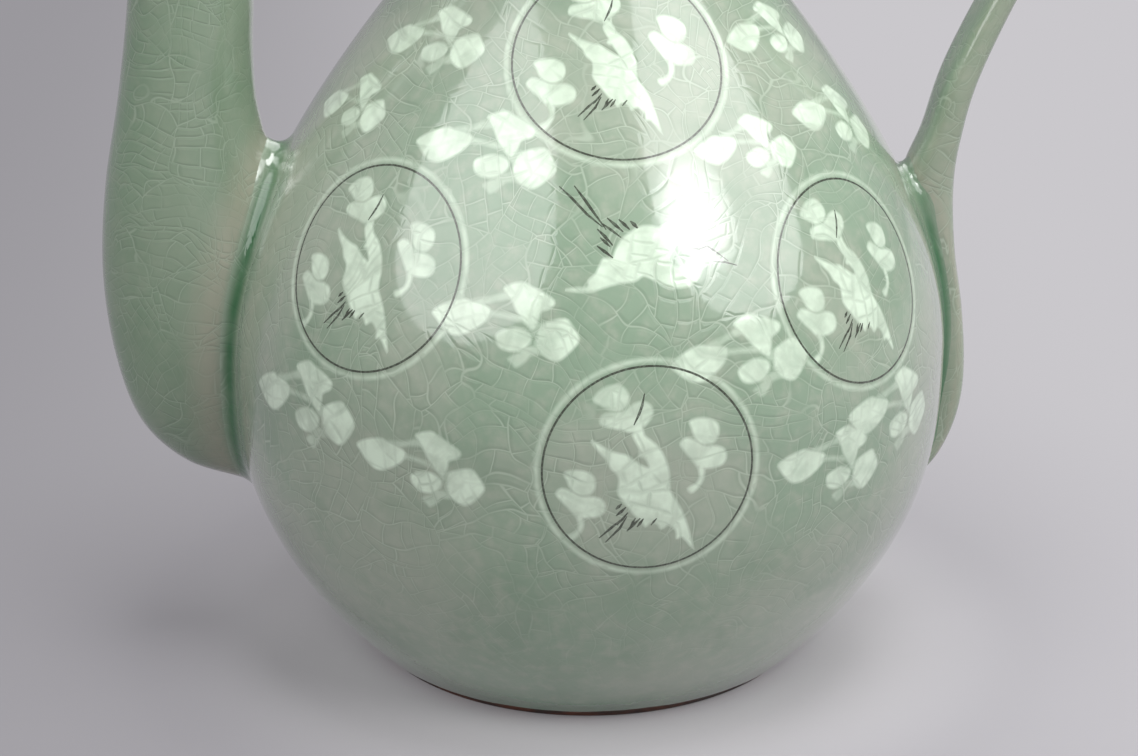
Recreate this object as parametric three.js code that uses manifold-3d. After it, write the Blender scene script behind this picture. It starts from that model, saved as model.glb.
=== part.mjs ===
// A double gourd ewer of inlaid celadon: a full lower bulb on a foot ring, a small upper bulb with a
// collared mouth, a hollow spout that swells into a pouch, a strap handle, and a loose lid.
// Millimetres, +Z up. The origin is where the axis of the bulbs meets the surface that the foot stands on.
// The spout points to -X and the handle to +X.
import * as THREE from "three";
import { mergeVertices } from "three/addons/utils/BufferGeometryUtils.js";
import Module from "manifold-3d";

// Clay and clearances
const seam = 0.3; // left between two pieces that are luted or set together
const wall = 4.5; // both bulbs
const floorThickness = 6;
const spoutWall = 3.6; // at the pouch, thinning to spoutLip at the tip
const spoutLip = 2.3;

// Foot
const footRadius = 46.3;
const footHeight = 5;
const footWidth = 7.5;
const edgeBevel = 0.8;

// Lower bulb: its outline leaves the foot at footFlare degrees from upright. It is thrown in two parts,
// a bowl and a shoulder, luted a little above the port
const bellyRadius = 75;
const bellyHeight = 66;
const footFlare = 46.3;
const undersideReach = 40.6;
const bellyFullnessBelow = 14.8;
const bellyFullnessAbove = 44.7;
const luteAbovePort = 9;

// Waist, where the two thrown bulbs are luted
const waistRadius = 20;
const waistHeight = 168;
const waistReachBelow = 11;
const waistReachShare = 0.24; // of the swell's height

// Upper bulb: thrown in two parts, luted halfway up
const upperRadius = 38.5;
const upperHeight = 201;
const upperFullness = 0.52; // of the height to the waist or to the neck
const neckRadius = 14.5;
const neckHeight = 233;
const neckReachShare = 0.22; // of the shoulder's height

// Collar of the mouth
const collarHeight = 8;
const collarFlare = 2;

// Spout: a round port in the bulb's wall opens into the pouch behind the spout
const portRadius = 9;
const portHeight = 70;
const spoutTipRadius = 6.8;
const spoutTipOut = 24.5; // of the tip's middle from the belly
const spoutTipUp = 148; // of the tip's middle above the belly
const spoutTipTilt = 40;

// Handle
const strapWidth = 13;
const strapThickness = 5.5;
const strapSquareness = 3.2; // 2 is an oval section

// Lid
const capOverhang = 0.8;
const capEdge = 2.4;
const capDome = 8;
const capThickness = 3.5;
const flangeClearance = 0.7;
const flangeThickness = 2.4;
const flangeDepth = 7.5;
const stemHeight = 14;
const stemRadius = 3.9;
const stemLean = 3;

// Cord loops on the handle and on the lid
const loopRadius = 3.6; // to the middle of the roll of clay
const loopRoll = 1.3;
const lidLoopPlace = 0.66; // of the cap's radius

// Facets
const bulbSides = 44;
const smallSides = 32;
const spoutSides = 20;
const strapSides = 14;
const stemSides = 12;
const stemRings = 12;
const rollSides = 8;
const archSteps = 6;
const domeSteps = 8;
const flareSteps = 6;
const undersideSteps = 9;
const shoulderSteps = 13;
const upperSteps = 8;
const spoutRings = 28;
const strapRings = 44;

const wasm = await Module();
wasm.setup();

const oval = 2; // the squareness of a round section
const point = (radius, height) => new THREE.Vector2(radius, height);
const top = (line) => line[line.length - 1];

// Solids

function solid(geometry) {
  const bare = geometry.clone();
  bare.deleteAttribute("normal");
  bare.deleteAttribute("uv");
  const merged = mergeVertices(bare, 1e-4);
  const corners = merged.index.array;
  const triangles = [];
  for (let i = 0; i < corners.length; i += 3) {
    const [a, b, c] = corners.subarray(i, i + 3);
    if (a !== b && b !== c && c !== a) triangles.push(a, b, c);
  }
  return new wasm.Manifold(
    new wasm.Mesh({
      numProp: 3,
      vertProperties: merged.attributes.position.array,
      triVerts: new Uint32Array(triangles),
    }),
  );
}

function geometryOf(made) {
  const { vertProperties, triVerts } = made.getMesh();
  const geometry = new THREE.BufferGeometry();
  geometry.setAttribute("position", new THREE.BufferAttribute(vertProperties, 3));
  geometry.setIndex(new THREE.BufferAttribute(triVerts, 1));
  const flat = geometry.toNonIndexed();
  flat.computeVertexNormals();
  return flat;
}

// A turned solid, from an outline whose ends lie on the axis.
function turned(outline, sides) {
  const upward = THREE.ShapeUtils.isClockWise(outline) ? [...outline].reverse() : outline;
  return solid(new THREE.LatheGeometry(upward, sides).rotateX(Math.PI / 2));
}

// A turned ring, from an outline that closes on itself.
function turnedRing(outline, sides) {
  const upward = THREE.ShapeUtils.isClockWise(outline) ? [...outline].reverse() : outline;
  return solid(new THREE.LatheGeometry([...upward, upward[0]], sides).rotateX(Math.PI / 2));
}

// A solid skinned over flat sections, each spanned from the far rail to the near rail.
// A rail lies in the plane of spout and handle, and its y holds half of the section's width.
// A squareness of 2 makes the sections ovals, and a higher one makes them squarer.
function lofted(far, near, squareness, sides) {
  const corners = [];
  const faces = [];
  const rounded = (value) => Math.sign(value) * Math.abs(value) ** (2 / squareness);
  for (const [ring, farPoint] of far.entries()) {
    const nearPoint = near[ring];
    for (let side = 0; side < sides; side++) {
      const turn = (2 * Math.PI * side) / sides;
      const along = (1 + rounded(Math.cos(turn))) / 2;
      const x = THREE.MathUtils.lerp(nearPoint.x, farPoint.x, along);
      const z = THREE.MathUtils.lerp(nearPoint.z, farPoint.z, along);
      corners.push(x, farPoint.y * rounded(Math.sin(turn)), z);
    }
  }
  const last = far.length - 1;
  for (let ring = 0; ring < last; ring++) {
    for (let side = 0; side < sides; side++) {
      const next = (side + 1) % sides;
      const a = ring * sides + side;
      const b = ring * sides + next;
      faces.push(a, a + sides, b, b, a + sides, b + sides);
    }
  }
  for (const ring of [0, last]) {
    const middle = corners.length / 3;
    const centre = far[ring].clone().lerp(near[ring], 0.5);
    corners.push(centre.x, 0, centre.z);
    for (let side = 0; side < sides; side++) {
      const a = ring * sides + side;
      const b = ring * sides + ((side + 1) % sides);
      faces.push(...(ring === 0 ? [middle, a, b] : [middle, b, a]));
    }
  }
  const geometry = new THREE.BufferGeometry();
  geometry.setAttribute("position", new THREE.Float32BufferAttribute(corners, 3));
  geometry.setIndex(faces);
  const made = solid(geometry);
  if (made.volume() > 0) return made;
  geometry.setIndex(faces.reverse());
  return solid(geometry);
}

// The rail moved towards the other rail, square to its own run, and narrowed as much. The distance
// runs evenly from one value at the rail's start to another at its end.
function insetRail(rail, other, atStart, atEnd = atStart) {
  return rail.map((here, i) => {
    const distance = THREE.MathUtils.lerp(atStart, atEnd, i / (rail.length - 1));
    const before = rail[Math.max(i - 1, 0)];
    const after = rail[Math.min(i + 1, rail.length - 1)];
    const run = after.clone().sub(before).setY(0).normalize();
    const across = other[i].clone().sub(here).setY(0);
    across.addScaledVector(run, -across.dot(run)).normalize();
    return here.clone().addScaledVector(across, distance).setY(here.y - distance);
  });
}

function smoothRail(points, rings) {
  return new THREE.CatmullRomCurve3(points, false, "catmullrom", 0.5).getPoints(rings);
}

// Outlines

// Points of a rising outline between two heights, with new end points on it.
function between(outline, low, high) {
  const at = (height) => {
    const above = outline.slice(1, -1).findIndex((p) => p.y >= height) + 1;
    const over = above > 0 ? above : outline.length - 1;
    const share = (height - outline[over - 1].y) / (outline[over].y - outline[over - 1].y);
    return outline[over - 1].clone().lerp(outline[over], share);
  };
  const inner = outline.filter((p) => p.y > low + edgeBevel / 2 && p.y < high - edgeBevel / 2);
  return [at(low), ...inner, at(high)];
}

// The outline moved inwards by a distance, square to its own run.
function insetOutline(outline, distance) {
  return outline.map((here, i) => {
    const before = outline[Math.max(i - 1, 0)];
    const after = outline[Math.min(i + 1, outline.length - 1)];
    const run = after.clone().sub(before).normalize();
    return point(here.x - run.y * distance, here.y + run.x * distance);
  });
}

const sweep = (a, b, c, d, steps) => new THREE.CubicBezierCurve(a, b, c, d).getPoints(steps);

// One sweeping line from the foot to the waist.
function lowerOutline() {
  const flare = THREE.MathUtils.degToRad(footFlare);
  const leaving = point(
    footRadius + undersideReach * Math.sin(flare),
    undersideReach * Math.cos(flare),
  );
  const belly = point(bellyRadius, bellyHeight);
  const underside = sweep(
    point(footRadius, 0),
    leaving,
    point(bellyRadius, bellyHeight - bellyFullnessBelow),
    belly,
    undersideSteps,
  );
  const shoulder = sweep(
    belly,
    point(bellyRadius, bellyHeight + bellyFullnessAbove),
    point(waistRadius, waistHeight - waistReachBelow),
    point(waistRadius, waistHeight),
    shoulderSteps,
  );
  return [...underside, ...shoulder.slice(1)];
}

// And from the waist to the neck.
function upperOutline() {
  const widest = point(upperRadius, upperHeight);
  const below = upperHeight - waistHeight;
  const above = neckHeight - upperHeight;
  const swell = sweep(
    point(waistRadius, waistHeight),
    point(waistRadius, waistHeight + waistReachShare * below),
    point(upperRadius, upperHeight - upperFullness * below),
    widest,
    upperSteps,
  );
  const shoulder = sweep(
    widest,
    point(upperRadius, upperHeight + upperFullness * above),
    point(neckRadius, neckHeight - neckReachShare * above),
    point(neckRadius, neckHeight),
    upperSteps,
  );
  return [...swell, ...shoulder.slice(1)];
}

const lower = lowerOutline();
const upper = upperOutline();

// The outer form of a bulb with the seam's gap round it, which cuts the pieces that are luted on.
function seatCutter(outline, sides) {
  const grown = insetOutline(outline, -seam);
  return turned([point(0, grown[0].y), ...grown, point(0, top(grown).y)], sides);
}
const lowerSeat = seatCutter(lower, bulbSides);
const upperSeat = seatCutter(upper, smallSides);

// Foot and bulbs

const mouthRadius = neckRadius - wall;
const bodyBase = footHeight + seam;

function footRing() {
  const inner = footRadius - footWidth;
  const outside = between(lower, edgeBevel, footHeight);
  return turnedRing(
    [
      point(inner, edgeBevel),
      point(inner + edgeBevel, 0),
      point(footRadius - edgeBevel, 0),
      ...outside,
      point(inner, footHeight),
    ],
    bulbSides,
  );
}

function spoutPort() {
  const drill = new THREE.CylinderGeometry(portRadius, portRadius, bellyRadius, spoutSides);
  drill.rotateZ(Math.PI / 2).translate(-bellyRadius, 0, portHeight);
  return solid(drill);
}

const bellyLute = portHeight + portRadius + luteAbovePort;

function lowerBowl() {
  const rim = bellyLute - seam / 2;
  const outside = between(lower, bodyBase, rim);
  const inside = between(insetOutline(lower, wall), bodyBase + floorThickness, rim);
  const pot = [point(0, bodyBase), ...outside, ...inside.reverse(), point(0, top(inside).y)];
  return turned(pot, bulbSides).subtract(spoutPort());
}

// A part of a bulb that is open below and above.
function openWall(outline, base, rim, sides) {
  const outside = between(outline, base, rim);
  const inside = between(insetOutline(outline, wall), base, rim);
  return turnedRing([...outside, ...inside.reverse()], sides);
}

function lowerShoulder() {
  return openWall(lower, bellyLute + seam / 2, waistHeight - seam / 2, bulbSides);
}

const upperLute = (waistHeight + neckHeight) / 2;

function upperSwell() {
  return openWall(upper, waistHeight + seam / 2, upperLute - seam / 2, smallSides);
}

function upperShoulder() {
  return openWall(upper, upperLute + seam / 2, neckHeight, smallSides);
}

const collarBase = neckHeight + seam;
const collarTop = collarBase + collarHeight;
const lipRadius = neckRadius + collarFlare;

function neckCollar() {
  const flare = sweep(
    point(neckRadius, collarBase),
    point(neckRadius, collarBase + collarHeight / 2),
    point(lipRadius, collarTop - collarHeight / 2),
    point(lipRadius, collarTop - edgeBevel),
    flareSteps,
  );
  return turnedRing(
    [
      ...flare,
      point(lipRadius - edgeBevel, collarTop),
      point(mouthRadius + edgeBevel, collarTop),
      point(mouthRadius, collarTop - edgeBevel),
      point(mouthRadius, collarBase),
    ],
    smallSides,
  );
}

// Spout

// Stations from inside the bulb to the tip: how far out from the belly and up from it the far rail and
// the near rail lie, and half of the width across. The sections fan round the crotch above the pouch.
function spoutRails() {
  const stations = [
    [-15, -35, -19, 37, 14.5],
    [-1.9, -29.9, -11.7, 42.7, 14.8],
    [10.5, -25.1, -9.4, 45, 15],
    [19.5, -15.5, -8.4, 49, 15],
    [23.9, -0.5, -7.8, 53.5, 14.7],
    [25.3, 17, -7.6, 59, 14.2],
    [23.6, 35.5, -7.7, 65.5, 13.6],
    [19.6, 55.5, -8.1, 72.8, 12.9],
    [16.4, 77, -8, 84, 11.8],
    [15.5, 96, -6, 99, 10.4],
    [17.5, 115, -0.5, 117, 9],
    [22, 131, 7.5, 133.5, 7.6],
  ];
  const place = (out, up, half) =>
    new THREE.Vector3(-(bellyRadius + out), half, bellyHeight + up);
  const far = stations.map(([out, up, , , half]) => place(out, up, half));
  const near = stations.map(([, , out, up, half]) => place(out, up, half));
  const tilt = THREE.MathUtils.degToRad(spoutTipTilt);
  const acrossOut = spoutTipRadius * Math.cos(tilt);
  const acrossUp = -spoutTipRadius * Math.sin(tilt);
  far.push(place(spoutTipOut + acrossOut, spoutTipUp + acrossUp, spoutTipRadius));
  near.push(place(spoutTipOut - acrossOut, spoutTipUp - acrossUp, spoutTipRadius));
  return [smoothRail(far, spoutRings), smoothRail(near, spoutRings)];
}

function spout() {
  const [far, near] = spoutRails();
  const runOn = (rail) => {
    const step = top(rail).clone().sub(rail[rail.length - 2]);
    return [...rail, top(rail).clone().add(step.setY(0))];
  };
  const boreFar = runOn(insetRail(far, near, spoutWall, spoutLip));
  const boreNear = runOn(insetRail(near, far, spoutWall, spoutLip));
  const tube = lofted(far, near, oval, spoutSides);
  const bore = lofted(boreFar, boreNear, oval, spoutSides);
  return tube.subtract(bore).subtract(lowerSeat);
}

// Handle

// The outer face of the strap, from its tail low on the bulb, up and over, to the upper bulb.
// The third number is what the strap is thicker by: at its tail, in the crotch and at its root.
function strapRails() {
  const fromBelly = [
    [-7, -35.5, 2],
    [-0.6, -30.5, 2],
    [3.3, -24, 2],
    [5.6, -16, 2],
    [6.1, -7, 2.5],
    [4.9, 5.5, 2.5],
    [2.6, 19, 2.5],
    [1.7, 32, 4.8],
    [2.6, 42.5, 1.9],
    [5.6, 55, 1.1],
    [12.6, 71.6, 0.3],
    [20.5, 86, 0],
    [26.8, 102, 0],
    [29, 118, 0],
    [26.5, 134, 0],
    [18.5, 146.5, 0],
  ];
  const fromUpper = [
    [43, 18.5, 0],
    [29.5, 19, 0],
    [16.5, 13.5, 0],
    [5, 7, 0.5],
    [-7.5, 2, 1],
  ];
  const half = strapWidth / 2;
  const stations = [
    ...fromBelly.map(([out, up, extra]) => [bellyRadius + out, bellyHeight + up, extra]),
    ...fromUpper.map(([out, up, extra]) => [upperRadius + out, upperHeight + up, extra]),
  ];
  const face = smoothRail(
    stations.map(([x, z]) => new THREE.Vector3(x, half, z)),
    strapRings,
  );
  const extras = smoothRail(
    stations.map(([, , extra]) => new THREE.Vector3(extra, 0, 0)),
    strapRings,
  );
  const back = face.map((here, i) => {
    const before = face[Math.max(i - 1, 0)];
    const after = face[Math.min(i + 1, face.length - 1)];
    const run = after.clone().sub(before).normalize();
    const inward = new THREE.Vector3(-run.z, 0, run.x);
    return here.clone().addScaledVector(inward, strapThickness + extras[i].x);
  });
  return [face, back];
}

const [strapFace, strapBack] = strapRails();

function handleStrap() {
  const strap = lofted(strapFace, strapBack, strapSquareness, strapSides);
  return strap.subtract(lowerSeat).subtract(upperSeat);
}

// A roll of clay bent into an arch in the plane of spout and handle. Its feet run on past the arch,
// along the way down, so that the piece that they stand on can cut them.
function archRoll(foot, upright) {
  const side = new THREE.Vector3(upright.z, 0, -upright.x);
  const at = (out, up) =>
    foot.clone().addScaledVector(side, out).addScaledVector(upright, up);
  const arch = [at(-loopRadius, -2 * loopRoll)];
  for (let i = 0; i <= archSteps; i++) {
    const turn = (Math.PI * i) / archSteps;
    arch.push(at(-loopRadius * Math.cos(turn), loopRoll + loopRadius * Math.sin(turn)));
  }
  arch.push(at(loopRadius, -2 * loopRoll));
  const section = new THREE.Shape().absarc(0, 0, loopRoll, 0, 2 * Math.PI);
  return solid(
    new THREE.ExtrudeGeometry(section, {
      steps: 2 * arch.length,
      curveSegments: rollSides,
      extrudePath: new THREE.CatmullRomCurve3(arch),
    }),
  );
}

function handleLoop() {
  const crest = strapFace.reduce((high, p) => (p.z > high.z ? p : high));
  const grown = [insetRail(strapFace, strapBack, -seam), insetRail(strapBack, strapFace, -seam)];
  const seat = lofted(...grown, strapSquareness, strapSides);
  const foot = new THREE.Vector3(crest.x, 0, crest.z);
  return archRoll(foot, new THREE.Vector3(0, 0, 1)).subtract(seat);
}

// Lid

const capRadius = lipRadius + capOverhang;
const capBase = collarTop + seam;
const flangeRadius = mouthRadius - flangeClearance;
const flangeBore = flangeRadius - flangeThickness;

// The cap's dome from its edge up to the axis, moved outwards by a distance.
function capDomeLine(away) {
  const spring = capBase + capEdge;
  const line = [];
  for (let i = 0; i <= domeSteps; i++) {
    const turn = (Math.PI * i) / (2 * domeSteps);
    line.push(
      point((capRadius + away) * Math.cos(turn), spring + (capDome + away) * Math.sin(turn)),
    );
  }
  line[domeSteps].x = 0;
  return line;
}

function lidCap() {
  const hollow = insetOutline(capDomeLine(0), capThickness).filter((p) => p.x < flangeBore);
  return turned(
    [
      ...hollow.reverse().map((p, i) => (i === 0 ? point(0, p.y) : p)),
      point(flangeBore, capBase),
      point(capRadius - edgeBevel, capBase),
      point(capRadius, capBase + edgeBevel),
      ...capDomeLine(0),
    ],
    smallSides,
  );
}

function lidFlange() {
  const high = capBase - seam;
  const low = high - flangeDepth;
  return turnedRing(
    [
      point(flangeBore, low),
      point(flangeRadius - edgeBevel, low),
      point(flangeRadius, low + edgeBevel),
      point(flangeRadius, high),
      point(flangeBore, high),
    ],
    smallSides,
  );
}

function capSeat() {
  return turned([point(0, capBase), ...capDomeLine(seam)], smallSides);
}

// The stalk of the gourd, which leans a little and ends in a cut.
function lidStem() {
  const domeTop = capBase + capEdge + capDome;
  const stations = [
    [-0.25, 1.25],
    [0.08, 0.95],
    [0.35, 0.68],
    [0.7, 0.62],
    [0.93, 0.8],
    [1, 0.74],
  ];
  const rail = (sign) =>
    smoothRail(
      stations.map(([up, share]) => {
        const radius = share * stemRadius;
        const lean = -stemLean * Math.max(up, 0) ** 2;
        return new THREE.Vector3(lean + sign * radius, radius, domeTop + up * stemHeight);
      }),
      stemRings,
    );
  return lofted(rail(-1), rail(1), oval, stemSides).subtract(capSeat());
}

function lidLoop() {
  const turn = Math.acos(lidLoopPlace);
  const foot = new THREE.Vector3(
    capRadius * Math.cos(turn),
    0,
    capBase + capEdge + capDome * Math.sin(turn),
  );
  const upright = new THREE.Vector3(
    Math.cos(turn) / capRadius,
    0,
    Math.sin(turn) / capDome,
  ).normalize();
  return archRoll(foot, upright).subtract(capSeat());
}

// Finishes
const celadon = { color: 0x9fb39e, roughness: 0.18, metalness: 0 };
const bareClay = { color: 0x5a3a22, roughness: 0.8, metalness: 0 };

function piece(name, made, finish) {
  const mesh = new THREE.Mesh(geometryOf(made), new THREE.MeshStandardMaterial(finish));
  mesh.name = name;
  return mesh;
}

const body = new THREE.Group().add(
  piece("foot_ring", footRing(), bareClay),
  piece("lower_bulb_bowl", lowerBowl(), celadon),
  piece("lower_bulb_shoulder", lowerShoulder(), celadon),
  piece("upper_bulb_swell", upperSwell(), celadon),
  piece("upper_bulb_shoulder", upperShoulder(), celadon),
  piece("neck_collar", neckCollar(), celadon),
  piece("spout", spout(), celadon),
  piece("handle_strap", handleStrap(), celadon),
  piece("handle_loop", handleLoop(), celadon),
);

const lid = new THREE.Group().add(
  piece("lid_cap", lidCap(), celadon),
  piece("lid_flange", lidFlange(), celadon),
  piece("lid_stem", lidStem(), celadon),
  piece("lid_loop", lidLoop(), celadon),
);

export default new THREE.Group().add(body, lid);
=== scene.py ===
# %% [markdown]
# # A double gourd ewer in inlaid celadon
# The real ewer is fired clay: two thrown bulbs, a spout and a strap handle luted on, white and black
# slip laid into lines cut in the wall, and a thick green glaze that crackles as it cools and runs into
# every seam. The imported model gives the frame: each piece made here rides on one of its bodies, in its
# place, in metres. Lengths are written in millimetres and multiplied by MM.

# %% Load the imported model
import math

import bmesh
import bpy
import numpy as np
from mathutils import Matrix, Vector, geometry
from mathutils.bvhtree import BVHTree


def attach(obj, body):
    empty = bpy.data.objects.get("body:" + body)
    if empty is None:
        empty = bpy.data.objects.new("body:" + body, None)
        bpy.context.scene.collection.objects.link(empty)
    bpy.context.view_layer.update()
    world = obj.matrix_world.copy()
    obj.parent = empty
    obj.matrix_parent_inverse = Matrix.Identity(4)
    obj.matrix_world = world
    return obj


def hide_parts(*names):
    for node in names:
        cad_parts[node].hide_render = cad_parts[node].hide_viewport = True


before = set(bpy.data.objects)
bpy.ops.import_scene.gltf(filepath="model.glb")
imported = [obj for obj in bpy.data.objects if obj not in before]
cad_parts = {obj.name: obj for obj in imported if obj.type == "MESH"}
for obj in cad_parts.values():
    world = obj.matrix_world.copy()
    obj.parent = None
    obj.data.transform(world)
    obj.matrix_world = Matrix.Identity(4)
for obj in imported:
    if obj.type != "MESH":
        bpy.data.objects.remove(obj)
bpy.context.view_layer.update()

MM = 0.001

# %% [markdown]
# ## Camera
# The photograph was taken close, from a little above the shoulder, and cuts off the top of the ewer.
# The lens, place and tilt are those at which the foot, the belly and the four rings of the inlay fall
# where the photograph has them.

# %% Camera
CAMERA_PLACE = (-0.04207, -0.48086, 0.2355)
CAMERA_DOWN = math.radians(20.36)
CAMERA_TURN = math.radians(4.558)
bpy.ops.object.camera_add(
    location=CAMERA_PLACE, rotation=(math.pi / 2 - CAMERA_DOWN, 0, -CAMERA_TURN)
)
camera = bpy.context.object
camera.data.sensor_width = 36
camera.data.lens = 76.27
camera.data.clip_start = 0.01
bpy.context.scene.camera = camera
print("camera", [round(v, 3) for v in camera.location])

# %% [markdown]
# ## The outlines
# A thrown pot is one outline turned round an axis. The lower bulb sweeps from the foot to the waist in
# one line, and the upper bulb from the waist to the neck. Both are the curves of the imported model, with
# many more points, so that no facet shows in the glaze.

# %% Outlines
FOOT_RADIUS, FOOT_HEIGHT, FOOT_WIDTH = 46.3, 5.0, 7.5
BELLY_RADIUS, BELLY_HEIGHT = 75.0, 66.0
WAIST_RADIUS, WAIST_HEIGHT = 20.0, 168.0
UPPER_RADIUS, UPPER_HEIGHT = 38.5, 201.0
NECK_RADIUS, NECK_HEIGHT = 14.5, 233.0
WALL, FLOOR = 4.5, 6.0


def unit(vectors):
    """The same directions, with a length of 1."""
    return vectors / np.linalg.norm(vectors, axis=1).clip(1e-9)[:, None]


def square(leans):
    """Flat directions turned a quarter to the left, with a length of 1."""
    leans = unit(leans)
    return np.stack([-leans[:, 1], leans[:, 0]], 1)


def full_turn(count):
    """Angles at an even step once round, without the last, which is the first again."""
    return np.linspace(0, 2 * math.pi, count, endpoint=False)


def sweep(a, b, c, d, steps):
    """Points of a cubic curve from a to d, without the first."""
    t = np.linspace(0, 1, steps + 1)[1:, None]
    a, b, c, d = (np.array(p, float) for p in (a, b, c, d))
    return (1 - t) ** 3 * a + 3 * (1 - t) ** 2 * t * b + 3 * (1 - t) * t * t * c + t**3 * d


class Outline:
    """Half of a turned form: radius and height along the run, in millimetres."""

    def __init__(self, points):
        self.points = np.array(points, float)
        self.radius, self.height = self.points.T
        steps = np.linalg.norm(np.diff(self.points, axis=0), axis=1)
        self.run = np.concatenate([[0], np.cumsum(steps)])
        self.slope = np.gradient(self.radius, self.height)

    def radius_at(self, height):
        return np.interp(height, self.height, self.radius)

    def slope_at(self, height):
        return np.interp(height, self.height, self.slope)

    def run_at(self, height):
        return np.interp(height, self.height, self.run)

    def normals(self, spots):
        """The ways out of the turned form at points on it."""
        radius = np.hypot(spots[:, 0], spots[:, 1]).clip(1e-6)
        slope = self.slope_at(spots[:, 2])
        return unit(np.stack([spots[:, 0] / radius, spots[:, 1] / radius, -slope], 1))

    def between(self, low, high):
        keep = (self.height > low + 0.05) & (self.height < high - 0.05)
        ends = [(self.radius_at(z), z) for z in (low, high)]
        return Outline([ends[0], *self.points[keep], ends[1]])

    def inset(self, distance):
        return Outline(self.points + distance * square(np.gradient(self.points, axis=0)))


FOOT_FLARE = math.radians(46.3)
lower_line = Outline(
    np.concatenate([
        [(FOOT_RADIUS, 0)],
        sweep((FOOT_RADIUS, 0),
              (FOOT_RADIUS + 40.6 * math.sin(FOOT_FLARE), 40.6 * math.cos(FOOT_FLARE)),
              (BELLY_RADIUS, BELLY_HEIGHT - 14.8), (BELLY_RADIUS, BELLY_HEIGHT), 60),
        sweep((BELLY_RADIUS, BELLY_HEIGHT), (BELLY_RADIUS, BELLY_HEIGHT + 44.7),
              (WAIST_RADIUS, WAIST_HEIGHT - 11), (WAIST_RADIUS, WAIST_HEIGHT), 90),
    ])
)
rise, fall = UPPER_HEIGHT - WAIST_HEIGHT, NECK_HEIGHT - UPPER_HEIGHT
upper_line = Outline(
    np.concatenate([
        [(WAIST_RADIUS, WAIST_HEIGHT)],
        sweep((WAIST_RADIUS, WAIST_HEIGHT), (WAIST_RADIUS, WAIST_HEIGHT + 0.24 * rise),
              (UPPER_RADIUS, UPPER_HEIGHT - 0.52 * rise), (UPPER_RADIUS, UPPER_HEIGHT), 50),
        sweep((UPPER_RADIUS, UPPER_HEIGHT), (UPPER_RADIUS, UPPER_HEIGHT + 0.52 * fall),
              (NECK_RADIUS, NECK_HEIGHT - 0.22 * fall), (NECK_RADIUS, NECK_HEIGHT), 50),
    ])
)
print("run of the lower wall, mm:", round(lower_line.run[-1]))

# %% [markdown]
# ## Laying a drawing on the wall
# The inlay is drawn flat, in millimetres, and then laid on the bulb: each point is pushed from the flat
# sheet straight onto the wall. It comes back as an angle round the axis, from the front towards the
# handle, and a run along the outline. In those two numbers the wall is a flat strip.

# %% Lay points on the wall
def spun(points, angle):
    """Flat points turned round the origin by an angle in degrees."""
    x, y = points.T
    cos, sin = math.cos(math.radians(angle)), math.sin(math.radians(angle))
    return np.stack([x * cos - y * sin, x * sin + y * cos], 1)


def lay(line, place, points):
    """Angle in radians and run in mm of flat points, laid at place: angle, height, turn and size."""
    angle, height, turn, size = place
    angle = math.radians(angle)
    radius, slope = line.radius_at(height), line.slope_at(height)
    outward = np.array([math.sin(angle), -math.cos(angle), 0])
    across = np.array([math.cos(angle), math.sin(angle), 0])
    up = (slope * outward + [0, 0, 1]) / math.hypot(1, slope)
    normal = (outward - [0, 0, slope]) / math.hypot(1, slope)
    flat = spun(np.array(points, float) * size, turn)
    spots = radius * outward + [0, 0, height] + flat[:, :1] * across + flat[:, 1:] * up
    for _ in range(6):
        gap = np.hypot(spots[:, 0], spots[:, 1]) - line.radius_at(spots[:, 2])
        spots -= (gap / math.hypot(1, slope))[:, None] * normal
    around = np.arctan2(spots[:, 0], -spots[:, 1]) - angle
    around = (around + math.pi) % (2 * math.pi) - math.pi + angle
    return np.stack([around, line.run_at(spots[:, 2])], 1)


def rounded(points, cuts=3):
    """A closed outline with its corners eased, through all of its points."""
    p = np.array(points, float)
    before, after, later = np.roll(p, 1, 0), np.roll(p, -1, 0), np.roll(p, -2, 0)
    out = []
    for t in np.arange(cuts) / cuts:
        out.append(0.5 * (2 * p + (after - before) * t
                          + (2 * before - 5 * p + 4 * after - later) * t * t
                          + (3 * p - before - 3 * after + later) * t**3))
    return np.stack(out, 1).reshape(-1, 2)


def stroke(points, width):
    """The outline of a brush stroke that swells to width and ends in points."""
    p = np.array(points, float)
    share = np.linspace(0, 1, len(p))
    half = width / 2 * (0.35 + 0.65 * np.sin(math.pi * share) ** 0.6)
    side = square(np.gradient(p, axis=0)) * half[:, None]
    return np.concatenate([p + side, (p - side)[::-1]])


def circle(radius):
    turn = full_turn(88)
    return radius * np.stack([np.cos(turn), np.sin(turn)], 1)


# %% [markdown]
# ## The drawings
# Three old motifs fill the wall: clouds of four lobes with a wisp of a tail, cranes in flight, and
# cranes among clouds inside a ring. White parts are white slip. Beaks, legs, tails and the inner ring are
# black slip. Each drawing is one list of points, used over and over with another turn and size.

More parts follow.
